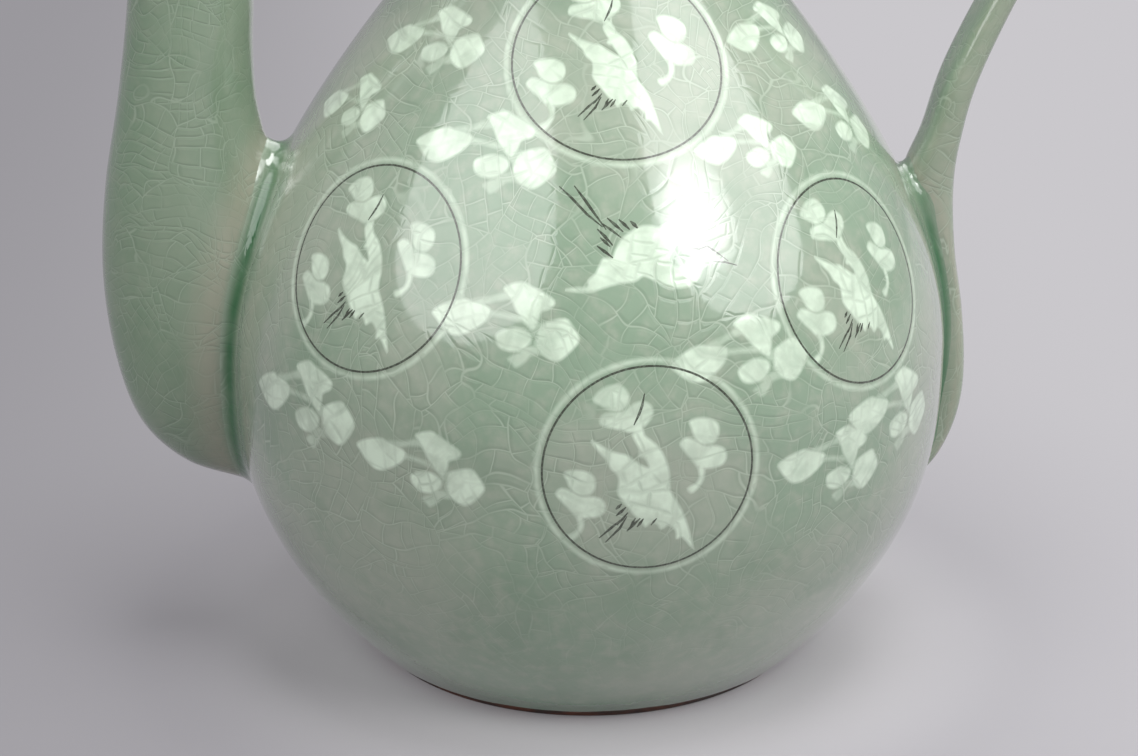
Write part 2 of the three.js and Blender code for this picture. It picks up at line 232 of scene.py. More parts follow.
# %% Cloud
CLOUD = [
    [(-15.8, 2.0), (-13.5, 3.4), (-10.3, 4.3), (-8.6, 3.9), (-6.6, 3.4), (-4.9, 2.5),
     (-5.3, 0.9), (-7.1, -0.7), (-9.9, -2.1), (-12.0, -2.1), (-13.7, -0.9), (-15.1, 0.7)],
    [(-2.5, 6.5), (0.5, 7.5), (2.4, 6.7), (4.3, 5.8), (6.5, 4.3), (6.1, 3.0), (4.3, 2.2),
     (3.9, 0.9), (3.0, -1.1), (1.1, 0.5), (-0.1, 2.1), (-1.0, 3.8), (-2.1, 5.3)],
    [(-3.8, -2.2), (-2.8, -1.3), (-0.2, -0.6), (2.3, -1.5), (2.6, -3.0), (1.0, -4.6),
     (-1.3, -4.9), (-3.2, -4.1)],
    [(3.9, -0.6), (5.5, 0.5), (8.5, 1.2), (9.9, -0.1), (11.1, -2.2), (10.4, -3.8),
     (8.3, -5.9), (6.8, -6.4), (5.0, -5.5), (3.6, -3.8)],
    [(-8.6, 4.1), (-5.2, 4.7), (-1.7, 5.6), (-1.2, 4.4), (-3.9, 3.9), (-6.6, 3.2)],
    [(-5.1, 2.2), (-2.0, 1.8), (1.1, 1.1), (0.9, 0.3), (-2.4, 1.0), (-5.2, 1.4)],
    [(2.3, -0.4), (4.5, 0.0), (4.8, -2.1), (2.6, -1.6)],
    [(0.7, -4.3), (2.9, -3.9), (5.0, -3.9), (5.0, -5.2), (2.8, -5.5), (0.9, -5.6)],
    [(-1.5, -6.2), (0.3, -5.2), (2.6, -4.9), (1.9, -6.4), (0.2, -7.7), (-0.6, -7.2)],
]
SMALL_CLOUD = [
    [(-3.1, 4.3), (-1.5, 4.9), (0.7, 4.7), (2.4, 3.6), (2.7, 1.6), (1.8, 0.1), (-0.2, -0.2),
     (-1.8, 1.0), (-2.6, 2.8)],
    [(-4.6, 0.2), (-3.5, 1.2), (-1.8, 0.6), (0.1, -0.4), (2.4, -0.5), (4.1, -1.3), (4.6, -3.1),
     (3.3, -4.6), (-0.4, -4.8), (-2.4, -2.8), (-4.0, -1.0)],
    [(-0.7, -4.6), (-0.4, -6.5), (-1.0, -7.8), (-2.5, -8.7), (-1.7, -9.7), (-0.6, -8.9),
     (0.5, -7.0), (0.4, -4.7)],
]
CLOUD_LOBES = 4
print("cloud of", len(CLOUD), "shapes")

# %% Cranes
RING_CRANE = [
    [(-1.5, 10.6), (-1.8, 9.3), (-3.0, 8.6), (-3.3, 7.4), (-2.3, 5.3), (-1.5, 3.6), (-0.5, 2.0),
     (-0.3, 1.0), (-1.7, 1.6), (-2.9, 2.5), (-4.3, 3.6), (-6.4, 4.2), (-8.5, 5.2), (-10.7, 6.6),
     (-10.3, 5.5), (-9.2, 4.1), (-8.0, 2.7), (-7.2, 1.0), (-6.0, -0.3), (-5.8, -1.9), (-6.0, -3.6),
     (-5.3, -5.1), (-4.1, -6.6), (-2.9, -8.3), (-1.6, -9.7), (-0.7, -10.9), (0.2, -10.1),
     (1.5, -10.5), (2.3, -11.6), (3.7, -10.9), (5.1, -12.3), (5.3, -13.9), (6.5, -13.8),
     (8.5, -16.3), (8.0, -13.8), (7.2, -11.0), (6.3, -8.5), (5.2, -6.3), (4.1, -4.5), (3.7, -2.7),
     (3.7, -1.0), (3.4, 0.7), (2.7, 2.8), (1.5, 4.9), (0.2, 6.2), (-1.0, 7.2), (-1.3, 8.5)],
]
RING_CRANE_INK = [
    ([(-0.9, 14.9), (-1.4, 12.7), (-2.0, 11.2), (-3.0, 9.2)], 0.42),
    ([(-5.0, -9.0), (-7.1, -10.9), (-9.3, -13.0)], 0.42),
    ([(-4.2, -8.6), (-5.5, -11.0), (-8.1, -13.9)], 0.42),
    ([(-5.2, -6.0), (-5.8, -6.6), (-6.3, -7.1)], 0.5),
    ([(-4.4, -6.7), (-5.3, -7.6), (-6.2, -8.4)], 0.5),
    ([(-4.0, -7.8), (-5.0, -9.1), (-6.0, -10.3)], 0.4),
    ([(-1.7, -9.1), (-3.1, -10.5), (-4.2, -11.7)], 0.5),
    ([(-1.1, -9.2), (-1.7, -10.1), (-2.3, -10.9)], 0.45),
    ([(-2.6, -9.0), (-3.1, -9.9), (-3.6, -10.9)], 0.4),
    ([(1.4, -9.3), (0.8, -10.0), (0.3, -10.7)], 0.35),
]
FREE_CRANE = [
    [(-13.3, -5.6), (-11.5, -5.2), (-9.4, -5.2), (-9.0, -4.0), (-7.7, -2.9), (-7.0, -1.6),
     (-6.1, -0.2), (-4.5, -0.2), (-3.7, 1.4), (-2.2, 3.5), (-0.6, 4.6), (0.9, 5.4), (2.8, 5.6),
     (4.5, 5.2), (6.8, 6.1), (9.3, 6.3), (11.5, 6.8), (10.1, 4.6), (8.5, 2.7), (6.9, 1.0),
     (6.3, -0.7), (7.2, -2.2), (8.4, -2.3), (9.4, -1.2), (10.5, -0.2), (11.8, 0.6), (13.4, 1.1),
     (14.8, 0.2), (15.7, -1.3), (14.4, -1.6), (12.5, -2.0), (11.5, -4.2), (9.6, -5.8),
     (7.1, -6.2), (5.2, -5.7), (3.6, -5.0), (2.1, -4.2), (1.0, -3.8), (-0.5, -4.7), (-2.7, -4.9),
     (-4.6, -5.2), (-6.6, -5.7), (-9.2, -6.3)],
]
FREE_CRANE_INK = [
    ([(-13.1, 13.8), (-11.1, 11.5), (-8.5, 8.2), (-5.8, 5.6)], 0.4),
    ([(-10.4, 13.7), (-8.8, 11.1), (-7.7, 9.2), (-5.2, 5.1)], 0.45),
    ([(-4.9, 7.3), (-3.5, 5.9), (-2.1, 4.5)], 0.5),
    ([(-2.8, 6.9), (-1.8, 5.9), (-0.9, 4.9)], 0.5),
    ([(-0.7, 6.5), (0.0, 5.8), (0.6, 5.1)], 0.6),
    ([(-6.8, 5.3), (-5.5, 3.8), (-4.2, 2.1)], 0.5),
    ([(-6.4, 3.7), (-5.5, 2.8), (-4.7, 1.9)], 0.5),
    ([(-7.1, 2.2), (-5.8, 1.1), (-4.3, -0.2)], 0.5),
    ([(-6.0, 6.4), (-4.3, 5.0), (-2.6, 3.5)], 0.4),
    ([(14.4, -1.4), (16.7, -1.5), (19.0, -2.1)], 0.3),
    ([(10.4, 1.2), (11.8, 0.9), (13.4, 1.5), (15.1, 0.4), (17.3, -1.3)], 0.3),
]
print("strokes on the ringed crane:", len(RING_CRANE_INK))

# %% [markdown]
# ## Where the drawings go
# The front shows three rows of rings with clouds and one free crane between them. The back, which the
# photograph doesn't show, repeats the front half a turn round. No ring lies under the spout or handle.

# %% Lay out the inlay of both bulbs
RING_CLOUDS = [(-5.2, 12.2, 35, 1.02), (10.2, 4.8, -4, 1.0), (-12.7, -4.0, 0, 0.98)]
RING_LINES = [("ink", 19.5, 19.9, 1.0), ("slip", 20.35, 21.2, 0.6)]
BRUSH, WASH, SMALL_CLOUD_SLIP = 1.3, 0.5, 0.9


def shapes(line, place, white, black=(), full=math.inf):
    """White and black outlines of one drawing, laid on the wall. From full on, the slip is a wash."""
    made = [
        ("slip", [lay(line, place, rounded(part))], 1.0 if i < full else WASH)
        for i, part in enumerate(white)
    ]
    return made + [("ink", [lay(line, place, stroke(part, BRUSH * w))], 1.0) for part, w in black]


def ringed(line, angle, height, turn, crane=1.0, size=1.0):
    """A crane and three clouds inside a black ring, with a white ring round it."""
    place = (angle, height, turn, size)
    made = shapes(line, (angle, height, turn, crane * size), RING_CRANE, RING_CRANE_INK)
    for x, y, cloud_turn, cloud_size in RING_CLOUDS:
        for part in SMALL_CLOUD:
            moved = spun(rounded(part) * cloud_size, cloud_turn) + [x, y]
            made.append(("slip", [lay(line, place, moved)], SMALL_CLOUD_SLIP))
    for kind, inner, outer, weight in RING_LINES:
        made.append((kind, [lay(line, place, circle(r)) for r in (outer, inner)], weight))
    return made


RINGS = [(-42.7, 98.2, 3, 0.93), (2.9, 135.2, -3, 0.86), (4.0, 65.4, 0, 1.0), (43.3, 93.7, -4, 0.92)]
CLOUDS = [
    (-46.6, 136.6, 12, 0.96), (-63.5, 122.8, 15, 0.91), (-23.0, 120.1, 2, 1.06),
    (-15.5, 92.2, 2, 1.03), (-50.5, 70.4, 9, 1.13), (-28.0, 63.9, 0, 1.0), (20.4, 85.1, 6, 1.03),
    (53.1, 136.2, -1, 0.89), (59.5, 119.3, -15, 0.98), (30.3, 119.4, 1, 0.83),
    (35.6, 60.3, -5, 1.01), (50.1, 66.1, -4, 1.11),
]
FREE_CRANE_ANGLE, FREE_CRANE_HEIGHT = 3.1, 103.7
UPPER_CLOUDS = [(210, 4, 0.62), (190, -4, 0.55)]
lower_inlay, upper_inlay = [], []
for half_turn in (0, -180):
    for angle, height, turn, crane in RINGS:
        lower_inlay += ringed(lower_line, angle + half_turn, height, turn, crane)
    for angle, height, turn, size in CLOUDS:
        place = (angle + half_turn, height, turn, size)
        lower_inlay += shapes(lower_line, place, CLOUD, full=CLOUD_LOBES)
    place = (FREE_CRANE_ANGLE + half_turn, FREE_CRANE_HEIGHT, 0, 1)
    lower_inlay += shapes(lower_line, place, FREE_CRANE, FREE_CRANE_INK)
for angle in (0, -90, -180):
    upper_inlay += ringed(upper_line, angle, UPPER_HEIGHT, 0, crane=0.95, size=0.62)
for angle in (-45, -135, -225, 45):
    for upper_place in UPPER_CLOUDS:
        upper_inlay += shapes(upper_line, (angle, *upper_place), CLOUD, full=CLOUD_LOBES)
print("inlaid outlines:", len(lower_inlay), "below,", len(upper_inlay), "above")

# %% [markdown]
# ## A wall with its inlay
# An inlay has a crisp edge, so its outlines become edges of the mesh. The wall is unrolled into a
# strip, the outlines are drawn into a grid of points on it, the strip is cut into triangles that keep
# every outline, and it is rolled up again. No modelling operator does this, so it is made in code. White
# slip blurs a little under the glaze, so its strength is kept at each point, with extra points on both
# sides of an outline. Black slip stays crisp, and is kept for each face.

# %% Roll a strip into a wall
STRIP_START = math.radians(-270)
COLUMNS = 168
ROW = 2.8


def inside(loop, spots):
    """Which spots lie inside a closed loop."""
    found = np.zeros(len(spots), bool)
    low, high = loop.min(0), loop.max(0)
    near = np.nonzero(((spots > low) & (spots < high)).all(1))[0]
    if len(near) == 0:
        return found
    x, y = spots[near, 0][:, None], spots[near, 1][:, None]
    x0, y0 = loop.T
    x1, y1 = np.roll(loop, -1, 0).T
    crosses = (y0 > y) != (y1 > y)
    with np.errstate(divide="ignore", invalid="ignore"):
        at = x0 + (y - y0) * (x1 - x0) / (y1 - y0)
    found[near] = (crosses & (x < at)).sum(1) % 2 == 1
    return found


BLUR = 0.35
CLEAR, CELL = 0.7, 2


def beside(loop, distance):
    """The points of a closed loop moved square to it."""
    return loop - distance * square(np.roll(loop, -1, 0) - np.roll(loop, 1, 0))


def strength_in(loop, spots):
    """0 outside a loop, 1 inside it and one half on it, with a blurred edge."""
    strength = np.zeros(len(spots))
    near = ((spots > loop.min(0) - BLUR) & (spots < loop.max(0) + BLUR)).all(1).nonzero()[0]
    if len(near) == 0:
        return strength
    start, step = loop, np.roll(loop, -1, 0) - loop
    along = ((spots[near, None] - start) * step).sum(2) / (step**2).sum(1).clip(1e-12)
    closest = start + along.clip(0, 1)[:, :, None] * step
    away = np.linalg.norm(spots[near, None] - closest, axis=2).min(1)
    signed = np.where(inside(loop, spots[near]), away, -away)
    strength[near] = (0.5 + signed / (2 * BLUR)).clip(0, 1)
    return strength


def clear_of(loops, grid):
    """The points of a grid that don't crowd an outline."""
    cells = {}
    for loop in loops:
        for spot in loop:
            cells.setdefault((int(spot[0] // CELL), int(spot[1] // CELL)), []).append(spot)
    kept = []
    for spot in grid:
        a, b = int(spot[0] // CELL), int(spot[1] // CELL)
        near = [p for x in (a - 1, a, a + 1) for y in (b - 1, b, b + 1) for p in cells.get((x, y), ())]
        if not near or np.abs(np.array(near) - spot).sum(1).min() >= CLEAR:
            kept.append(tuple(spot))
    return kept


def mark(piece, kind, values, domain="POINT"):
    """Keep a number for each point or face, which the glaze reads."""
    made = piece.data.attributes.new(kind, "FLOAT", domain)
    made.data.foreach_set("value", np.asarray(values, np.float32).ravel())


def wall(name, line, inlay=(), port=None, outwards=True):
    """A turned wall in triangles, with the inlay's outlines as edges and a round port cut in it."""
    scale = line.radius.max()
    rows = max(2, round(line.run[-1] / ROW))
    columns = np.linspace(STRIP_START, STRIP_START + 2 * math.pi, COLUMNS + 1)
    grid = np.array([(a * scale, s) for s in np.linspace(0, line.run[-1], rows + 1) for a in columns])
    inlay = [(kind, [loop * [scale, 1] for loop in drawn], weight) for kind, drawn, weight in inlay]
    loops = [loop for _, drawn, _ in inlay for loop in drawn]
    if port is not None:
        loops.append(port * [scale, 1])
    points = clear_of(loops, grid)
    edges = []
    for loop in loops:
        first = len(points)
        points += [tuple(p) for p in loop]
        edges += [(first + i, first + (i + 1) % len(loop)) for i in range(len(loop))]
    for kind, drawn, _ in inlay:
        if kind == "slip":
            for loop in drawn:
                for side in (-BLUR, BLUR):
                    points += [tuple(p) for p in beside(loop, side)]
    made = geometry.delaunay_2d_cdt([Vector(p) for p in points], edges, [], 0, 1e-5)
    flat = np.array([tuple(p) for p in made[0]])
    faces = np.array([f for f in made[2] if len(f) == 3])
    centres = flat[faces].mean(1)
    if port is not None:
        faces = faces[~inside(loops[-1], centres)]
        centres = flat[faces].mean(1)
    slip, ink = np.zeros(len(flat)), np.zeros(len(faces), bool)
    for kind, rims, weight in inlay:
        if kind == "ink":
            found = [inside(rim, centres) for rim in rims]
            ink |= found[0] & ~found[1] if len(rims) == 2 else found[0]
        else:
            found = strength_in(rims[0], flat)
            if len(rims) == 2:
                found = np.minimum(found, 1 - strength_in(rims[1], flat))
            slip = np.maximum(slip, weight * found)
    angle, run = flat[:, 0] / scale, flat[:, 1]
    radius = np.interp(run, line.run, line.radius) * MM
    height = np.interp(run, line.run, line.height) * MM
    spots = np.stack([radius * np.sin(angle), -radius * np.cos(angle), height], 1)
    mesh = bpy.data.meshes.new(name)
    mesh.from_pydata(spots.tolist(), [], (faces if outwards else faces[:, ::-1]).tolist())
    piece = bpy.data.objects.new(name, mesh)
    bpy.context.collection.objects.link(piece)
    mark(piece, "slip", slip)
    mark(piece, "ink", ink, "FACE")
    return piece


# %% [markdown]
# ## Turning, rolling and cutting
# Three ways of making shapes are used again and again. A turned piece starts as a ring of points, set
# out as its outline, and the spin operator takes it round the axis. A rolled piece starts as a flat
# grid, rolled into a tube whose rings follow two rails. A piece that is luted on is cut by the form
# that it stands on, so that it fits it all round.

# %% Turn an outline
WELD = 1e-6
CREASE, ROLLED_CREASE = 35, 60


def pick(*pieces):
    """Select these pieces alone, the last one active."""
    bpy.ops.object.select_all(action="DESELECT")
    for piece in pieces:
        piece.select_set(True)
    bpy.context.view_layer.objects.active = pieces[-1]


def tidy_faces(piece, crease=CREASE):
    """Weld, close and smooth a piece, and turn its faces outwards. Edges above the crease stay crisp."""
    pick(piece)
    bpy.ops.object.mode_set(mode="EDIT")
    bpy.ops.mesh.select_all(action="SELECT")
    bpy.ops.mesh.remove_doubles(threshold=WELD)
    bpy.ops.mesh.fill_holes(sides=0)
    bpy.ops.mesh.normals_make_consistent(inside=False)
    bpy.ops.object.mode_set(mode="OBJECT")
    bpy.ops.object.shade_smooth_by_angle(angle=math.radians(crease))


def turned(name, outline):
    """A turned piece. An outline that starts and ends on the axis stays open there."""
    bpy.ops.object.select_all(action="DESELECT")
    bpy.ops.mesh.primitive_circle_add(vertices=len(outline), radius=1)
    piece = bpy.context.object
    piece.name = piece.data.name = name
    for vertex, (radius, height) in zip(piece.data.vertices, outline):
        vertex.co = (0, -radius * MM, height * MM)
    on_axis = outline[0][0] == 0 and outline[-1][0] == 0
    bpy.ops.object.mode_set(mode="EDIT")
    if on_axis:
        form = bmesh.from_edit_mesh(piece.data)
        for edge in form.edges:
            edge.select_set(all(v.co.y == 0 for v in edge.verts))
        bpy.ops.mesh.delete(type="EDGE")
    bpy.ops.mesh.select_all(action="SELECT")
    bpy.ops.mesh.spin(steps=COLUMNS, angle=2 * math.pi, center=(0, 0, 0), axis=(0, 0, 1))
    bpy.ops.object.mode_set(mode="OBJECT")
    tidy_faces(piece)
    return piece


# %% Roll a grid into a tube
def smooth_rail(points, count):
    """A smooth line through all of the points."""
    p = np.array(points, float)
    p = np.vstack([2 * p[0] - p[1], p, 2 * p[-1] - p[-2]])
    share = np.linspace(0, len(p) - 3, count)
    i = np.minimum(share.astype(int), len(p) - 4)
    t = (share - i)[:, None]
    a, b, c, d = p[i], p[i + 1], p[i + 2], p[i + 3]
    return 0.5 * (2 * b + (c - a) * t + (2 * a - 5 * b + 4 * c - d) * t * t
                  + (3 * b - a - 3 * c + d) * t**3)


def inset_rail(rail, other, distance):
    """A rail moved towards the other one, square to its own run, and narrowed as much."""
    run = unit(np.gradient(rail, axis=0) * [1, 0, 1])
    across = (other - rail) * [1, 0, 1]
    across = unit(across - (across * run).sum(1)[:, None] * run)
    return rail + across * distance[:, None] - distance[:, None] * [0, 1, 0]


def sections(far, near, squareness, sides):
    """Rings spanned between two rails. 2 gives ovals, and more gives squarer rings."""
    turn = full_turn(sides)
    along, aside = (np.sign(v) * np.abs(v) ** (2 / squareness) for v in (np.cos(turn), np.sin(turn)))
    share = ((1 + along) / 2)[None, :, None]
    rings = near[:, None] * (1 - share) + far[:, None] * share
    rings[:, :, 1] = far[:, None, 1] * aside
    return rings


def rolled(name, rings, endless=False, **marks):
    """A grid rolled into rings of points in mm. An endless one also joins its last ring to its first."""
    def wrapped(values):
        values = np.concatenate([values, values[:, :1]], 1)
        return np.concatenate([values, values[:1]]) if endless else values

    rings = wrapped(rings)
    rows, sides = rings.shape[:2]
    bpy.ops.object.select_all(action="DESELECT")
    bpy.ops.mesh.primitive_grid_add(x_subdivisions=sides - 1, y_subdivisions=rows - 1, size=1)
    piece = bpy.context.object
    piece.name = piece.data.name = name
    piece.data.vertices.foreach_set("co", (rings * MM).astype(np.float32).ravel())
    for kind, values in marks.items():
        mark(piece, kind, wrapped(values))
    tidy_faces(piece, ROLLED_CREASE)
    return piece


# %% Cut a piece to the form that it stands on
cut_mark = bpy.data.materials.new("cut")


def cut_by(piece, core):
    """Cut a piece by a core, and return the line where they meet, in mm, as a closed run of points."""
    if not piece.data.materials:
        piece.data.materials.append(bpy.data.materials.new("whole"))
    core.data.materials.clear()
    core.data.materials.append(cut_mark)
    pick(piece)
    cut = piece.modifiers.new("cut", "BOOLEAN")
    cut.operation, cut.object, cut.solver = "DIFFERENCE", core, "EXACT"
    cut.material_mode = "TRANSFER"
    bpy.ops.object.modifier_apply(modifier=cut.name)
    mesh = piece.data
    met = {}
    for face in mesh.polygons:
        for key in face.edge_keys:
            met.setdefault(key, set()).add(face.material_index)
    links = {}
    for (a, b), kinds in met.items():
        if len(kinds) == 2:
            links.setdefault(a, []).append(b)
            links.setdefault(b, []).append(a)
    loops = []
    while links:
        here = next(iter(links))
        loop = []
        while here in links:
            loop.append(here)
            following = links.pop(here)
            here = next((n for n in following if n in links), None)
        loops.append(np.array([mesh.vertices[i].co for i in loop]) / MM)
    mesh.materials.clear()
    mesh.polygons.foreach_set("material_index", np.zeros(len(mesh.polygons), np.int32))
    return max(loops, key=lambda loop: np.linalg.norm(np.diff(loop, axis=0), axis=1).sum())


# %% Light a wall as the smooth form that it stands for
ON_FORM, FACING = 0.02, 0.7


def points_of(piece):
    spots = np.empty(3 * len(piece.data.vertices), np.float32)
    piece.data.vertices.foreach_get("co", spots)
    return spots.reshape(-1, 3) / MM


def true_normals(piece, line):
    """Light the outside as the smooth form that it was cut from, not as its triangles."""
    spots = points_of(piece)
    normals = line.normals(spots)
    on = np.abs(np.hypot(spots[:, 0], spots[:, 1]) - line.radius_at(spots[:, 2])) < ON_FORM
    corners = np.zeros((len(piece.data.loops), 3))
    for face in piece.data.polygons:
        ends = list(face.vertices)
        if on[ends].all() and np.dot(normals[ends[0]], face.normal) > FACING:
            corners[list(face.loop_indices)] = normals[ends]
    piece.data.normals_split_custom_set(corners.tolist())


# %% [markdown]
# ## The two bulbs
# Each bulb is a real wall, 4.5 mm thick: the outer skin with its inlay, an inner skin, and bridges
# between them at the open ends and at the port behind the spout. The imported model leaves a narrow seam
# between the foot ring and the bulb. Here the two meet in its middle.

# %% Make the bulbs
PORT_RADIUS, PORT_HEIGHT, PORT_POINTS = 9.0, 70.0, 48
SEAM = 0.3


def port_edge(line):
    """The round port where it passes through a skin, as angle and run."""
    turn = full_turn(PORT_POINTS)
    height = PORT_HEIGHT + PORT_RADIUS * np.sin(turn)
    angle = -math.pi / 2 - np.arcsin(PORT_RADIUS * np.cos(turn) / line.radius_at(height))
    return np.stack([angle, line.run_at(height)], 1)


def bridge_ends(piece, near):
    """Bridge the open edges for whose ends near says yes, given their place in mm."""
    bpy.ops.mesh.select_all(action="DESELECT")
    form = bmesh.from_edit_mesh(piece.data)
    for edge in form.edges:
        if edge.is_boundary and all(near(end.co / MM) for end in edge.verts):
            edge.select_set(True)
    bmesh.update_edit_mesh(piece.data)
    bpy.ops.mesh.bridge_edge_loops()


def bulb(name, line, low, high, floor, inlay, port):
    """A bulb between two heights, closed by a floor where it has one."""
    outer, inner = line.between(low, high), line.inset(WALL).between(floor or low, high)
    outer_port = inner_port = None
    if port:
        outer_port, inner_port = port_edge(outer), port_edge(inner)
    piece = wall(name, outer, inlay, outer_port)
    lining = wall(name + "_lining", inner, (), inner_port, outwards=False)
    pick(lining, piece)
    bpy.ops.object.join()
    bpy.ops.object.mode_set(mode="EDIT")
    bpy.ops.mesh.select_all(action="SELECT")
    bpy.ops.mesh.remove_doubles(threshold=WELD)
    bridge_ends(piece, lambda spot: abs(spot.z - high) < 0.01)
    if port:
        bridge_ends(piece, lambda spot: abs(spot.z - PORT_HEIGHT) < PORT_RADIUS + 1)
    if floor is None:
        bridge_ends(piece, lambda spot: abs(spot.z - low) < 0.01)
    bpy.ops.object.mode_set(mode="OBJECT")
    tidy_faces(piece)
    true_normals(piece, outer)
    return piece


def on_run(line, inlay, low):
    """The inlay with its run counted from a height instead of from the line's own start."""
    start = line.run_at(low)
    return [(kind, [loop - [0, start] for loop in drawn], weight) for kind, drawn, weight in inlay]


FOOT_TOP = FOOT_HEIGHT + SEAM / 2
lower_bulb = bulb("lower_bulb", lower_line, FOOT_TOP, WAIST_HEIGHT, FOOT_HEIGHT + SEAM + FLOOR,
                  on_run(lower_line, lower_inlay, FOOT_TOP), port=True)
upper_bulb = bulb("upper_bulb", upper_line, WAIST_HEIGHT, NECK_HEIGHT, None, upper_inlay, port=False)
for piece in (lower_bulb, upper_bulb):
    piece.data.calc_loop_triangles()
    open_edges = sum(n == 1 for n in np.unique(
        [k for f in piece.data.polygons for k in f.edge_keys], axis=0, return_counts=True)[1])
    print(piece.name, len(piece.data.loop_triangles), "triangles, open edges:", open_edges)

# %% [markdown]
# ## Foot and collar
# The potter trims the foot ring with a turning tool, and wipes the glaze off the flat that it stands
# on, so a thin line of bare brown clay shows under the glaze. The collar stands on the upper bulb and
# flares a little to a rounded lip.

# %% Turn the foot ring and the collar
GLAZE_END = 2.5
foot_inside = FOOT_RADIUS - FOOT_WIDTH
foot_line = lower_line.between(GLAZE_END, FOOT_TOP)
foot_ring = turned("foot_ring", [
    (foot_inside + 0.5, 0.15), (foot_inside + 1.0, 0), (FOOT_RADIUS - 0.7, 0), (FOOT_RADIUS - 0.2, 0.1),
    (FOOT_RADIUS + 0.3, 0.45), *foot_line.points, (foot_inside, FOOT_TOP), (foot_inside, GLAZE_END),
    (foot_inside, 0.6),
])
spots = points_of(foot_ring)
turn = np.arctan2(spots[:, 0], -spots[:, 1])
wave = 0.16 * np.sin(5 * turn + 0.4) + 0.1 * np.sin(13 * turn) + 0.06 * np.sin(31 * turn + 2)
outer = np.hypot(spots[:, 0], spots[:, 1]) > (foot_inside + FOOT_RADIUS) / 2
edge = (np.abs(spots[:, 2] - GLAZE_END) < 0.01) & outer
spots[edge, 2] += wave[edge]
radius = lower_line.radius_at(spots[edge, 2])
spots[edge, 0], spots[edge, 1] = radius * np.sin(turn[edge]), -radius * np.cos(turn[edge])
foot_ring.data.vertices.foreach_set("co", (spots * MM).ravel())
true_normals(foot_ring, lower_line.between(GLAZE_END - 0.5, FOOT_TOP))

COLLAR_TOP, LIP_RADIUS, MOUTH_RADIUS = 241.3, 16.5, 10.0
flare = sweep((NECK_RADIUS, NECK_HEIGHT), (NECK_RADIUS, 237), (LIP_RADIUS, 236.5),
              (LIP_RADIUS, COLLAR_TOP - 1.3), 16)
collar = turned("neck_collar", [
    (NECK_RADIUS, NECK_HEIGHT), *flare, (LIP_RADIUS - 0.15, COLLAR_TOP - 0.65),
    (LIP_RADIUS - 0.6, COLLAR_TOP - 0.15), (LIP_RADIUS - 1.3, COLLAR_TOP),
    (MOUTH_RADIUS + 1.2, COLLAR_TOP), (MOUTH_RADIUS + 0.35, COLLAR_TOP - 0.3),
    (MOUTH_RADIUS, COLLAR_TOP - 1.1), (MOUTH_RADIUS, NECK_HEIGHT),
])
print("foot", [round(v * 1000) for v in foot_ring.dimensions])

# %% [markdown]
# ## Spout
# The spout is rolled from a sheet of clay. It leaves the belly as a wide pouch, narrows as it rises
# beside the shoulder and ends in a small round tip. Two rails give its outer and inner edge, and its
# rings fan round the crotch. The tube runs on into the bulb, and is cut there by the bulb's own form.

# %% Rails of the spout
SPOUT_STATIONS = [
    (-15, -35, -19, 37, 14.5), (-1.9, -29.9, -11.7, 42.7, 14.8), (10.5, -25.1, -9.4, 45, 15),
    (19.5, -15.5, -8.4, 49, 15), (23.9, -0.5, -7.8, 53.5, 14.7), (25.3, 17, -7.6, 59, 14.2),
    (23.6, 35.5, -7.7, 65.5, 13.6), (19.6, 55.5, -8.1, 72.8, 12.9), (16.4, 77, -8, 84, 11.8),
    (15.5, 96, -6, 99, 10.4), (17.5, 115, -0.5, 117, 9), (22, 131, 7.5, 133.5, 7.6),
]
TIP_OUT, TIP_UP, TIP_RADIUS, TIP_TILT = 24.5, 148, 6.8, math.radians(40)
SPOUT_RINGS, SPOUT_SIDES, SPOUT_WALL = 170, 72, (3.6, 2.3)
LIP_RISE, LIP_RINGS = 1.1, 6


def from_belly(out, up, half):
    return (-(BELLY_RADIUS + out), half, BELLY_HEIGHT + up)


reach, drop = TIP_RADIUS * math.cos(TIP_TILT), TIP_RADIUS * math.sin(TIP_TILT)
far = [from_belly(out, up, half) for out, up, _, _, half in SPOUT_STATIONS]
near = [from_belly(out, up, half) for _, _, out, up, half in SPOUT_STATIONS]
far.append(from_belly(TIP_OUT + reach, TIP_UP - drop, TIP_RADIUS))
near.append(from_belly(TIP_OUT - reach, TIP_UP + drop, TIP_RADIUS))
far, near = smooth_rail(far, SPOUT_RINGS), smooth_rail(near, SPOUT_RINGS)
print("spout tip at", far[-1].round(1), near[-1].round(1))

# %% Roll the spout and cut it to the bulb
thick = np.linspace(*SPOUT_WALL, SPOUT_RINGS)
bore_far, bore_near = inset_rail(far, near, thick), inset_rail(near, far, thick)
outside = sections(far, near, 2, SPOUT_SIDES)
bore = sections(bore_far, bore_near, 2, SPOUT_SIDES)
onward = outside[-1].mean(0) - outside[-4].mean(0)
lip_rise = onward / np.linalg.norm(onward) * LIP_RISE
lip = []
for step in np.linspace(0, math.pi, 9)[1:-1]:
    share = (1 - math.cos(step)) / 2
    lip.append(outside[-1] * (1 - share) + bore[-1] * share + lip_rise * math.sin(step))
for rings in (outside, bore):
    rings[-LIP_RINGS:] -= lip_rise * np.linspace(0, 1, LIP_RINGS)[:, None, None]
lip = np.array(lip) - lip_rise
spout = rolled("spout", np.concatenate([outside, lip, bore[::-1]]), endless=True)

lower_core = turned("lower_core", [(0, 0), *lower_line.points, (0, WAIST_HEIGHT)])
upper_core = turned("upper_core", [(0, WAIST_HEIGHT), *upper_line.points, (0, NECK_HEIGHT)])
spout_seam = cut_by(spout, lower_core)
print("spout seam:", len(spout_seam), "points from", spout_seam.min(0).round(), "to",
      spout_seam.max(0).round())

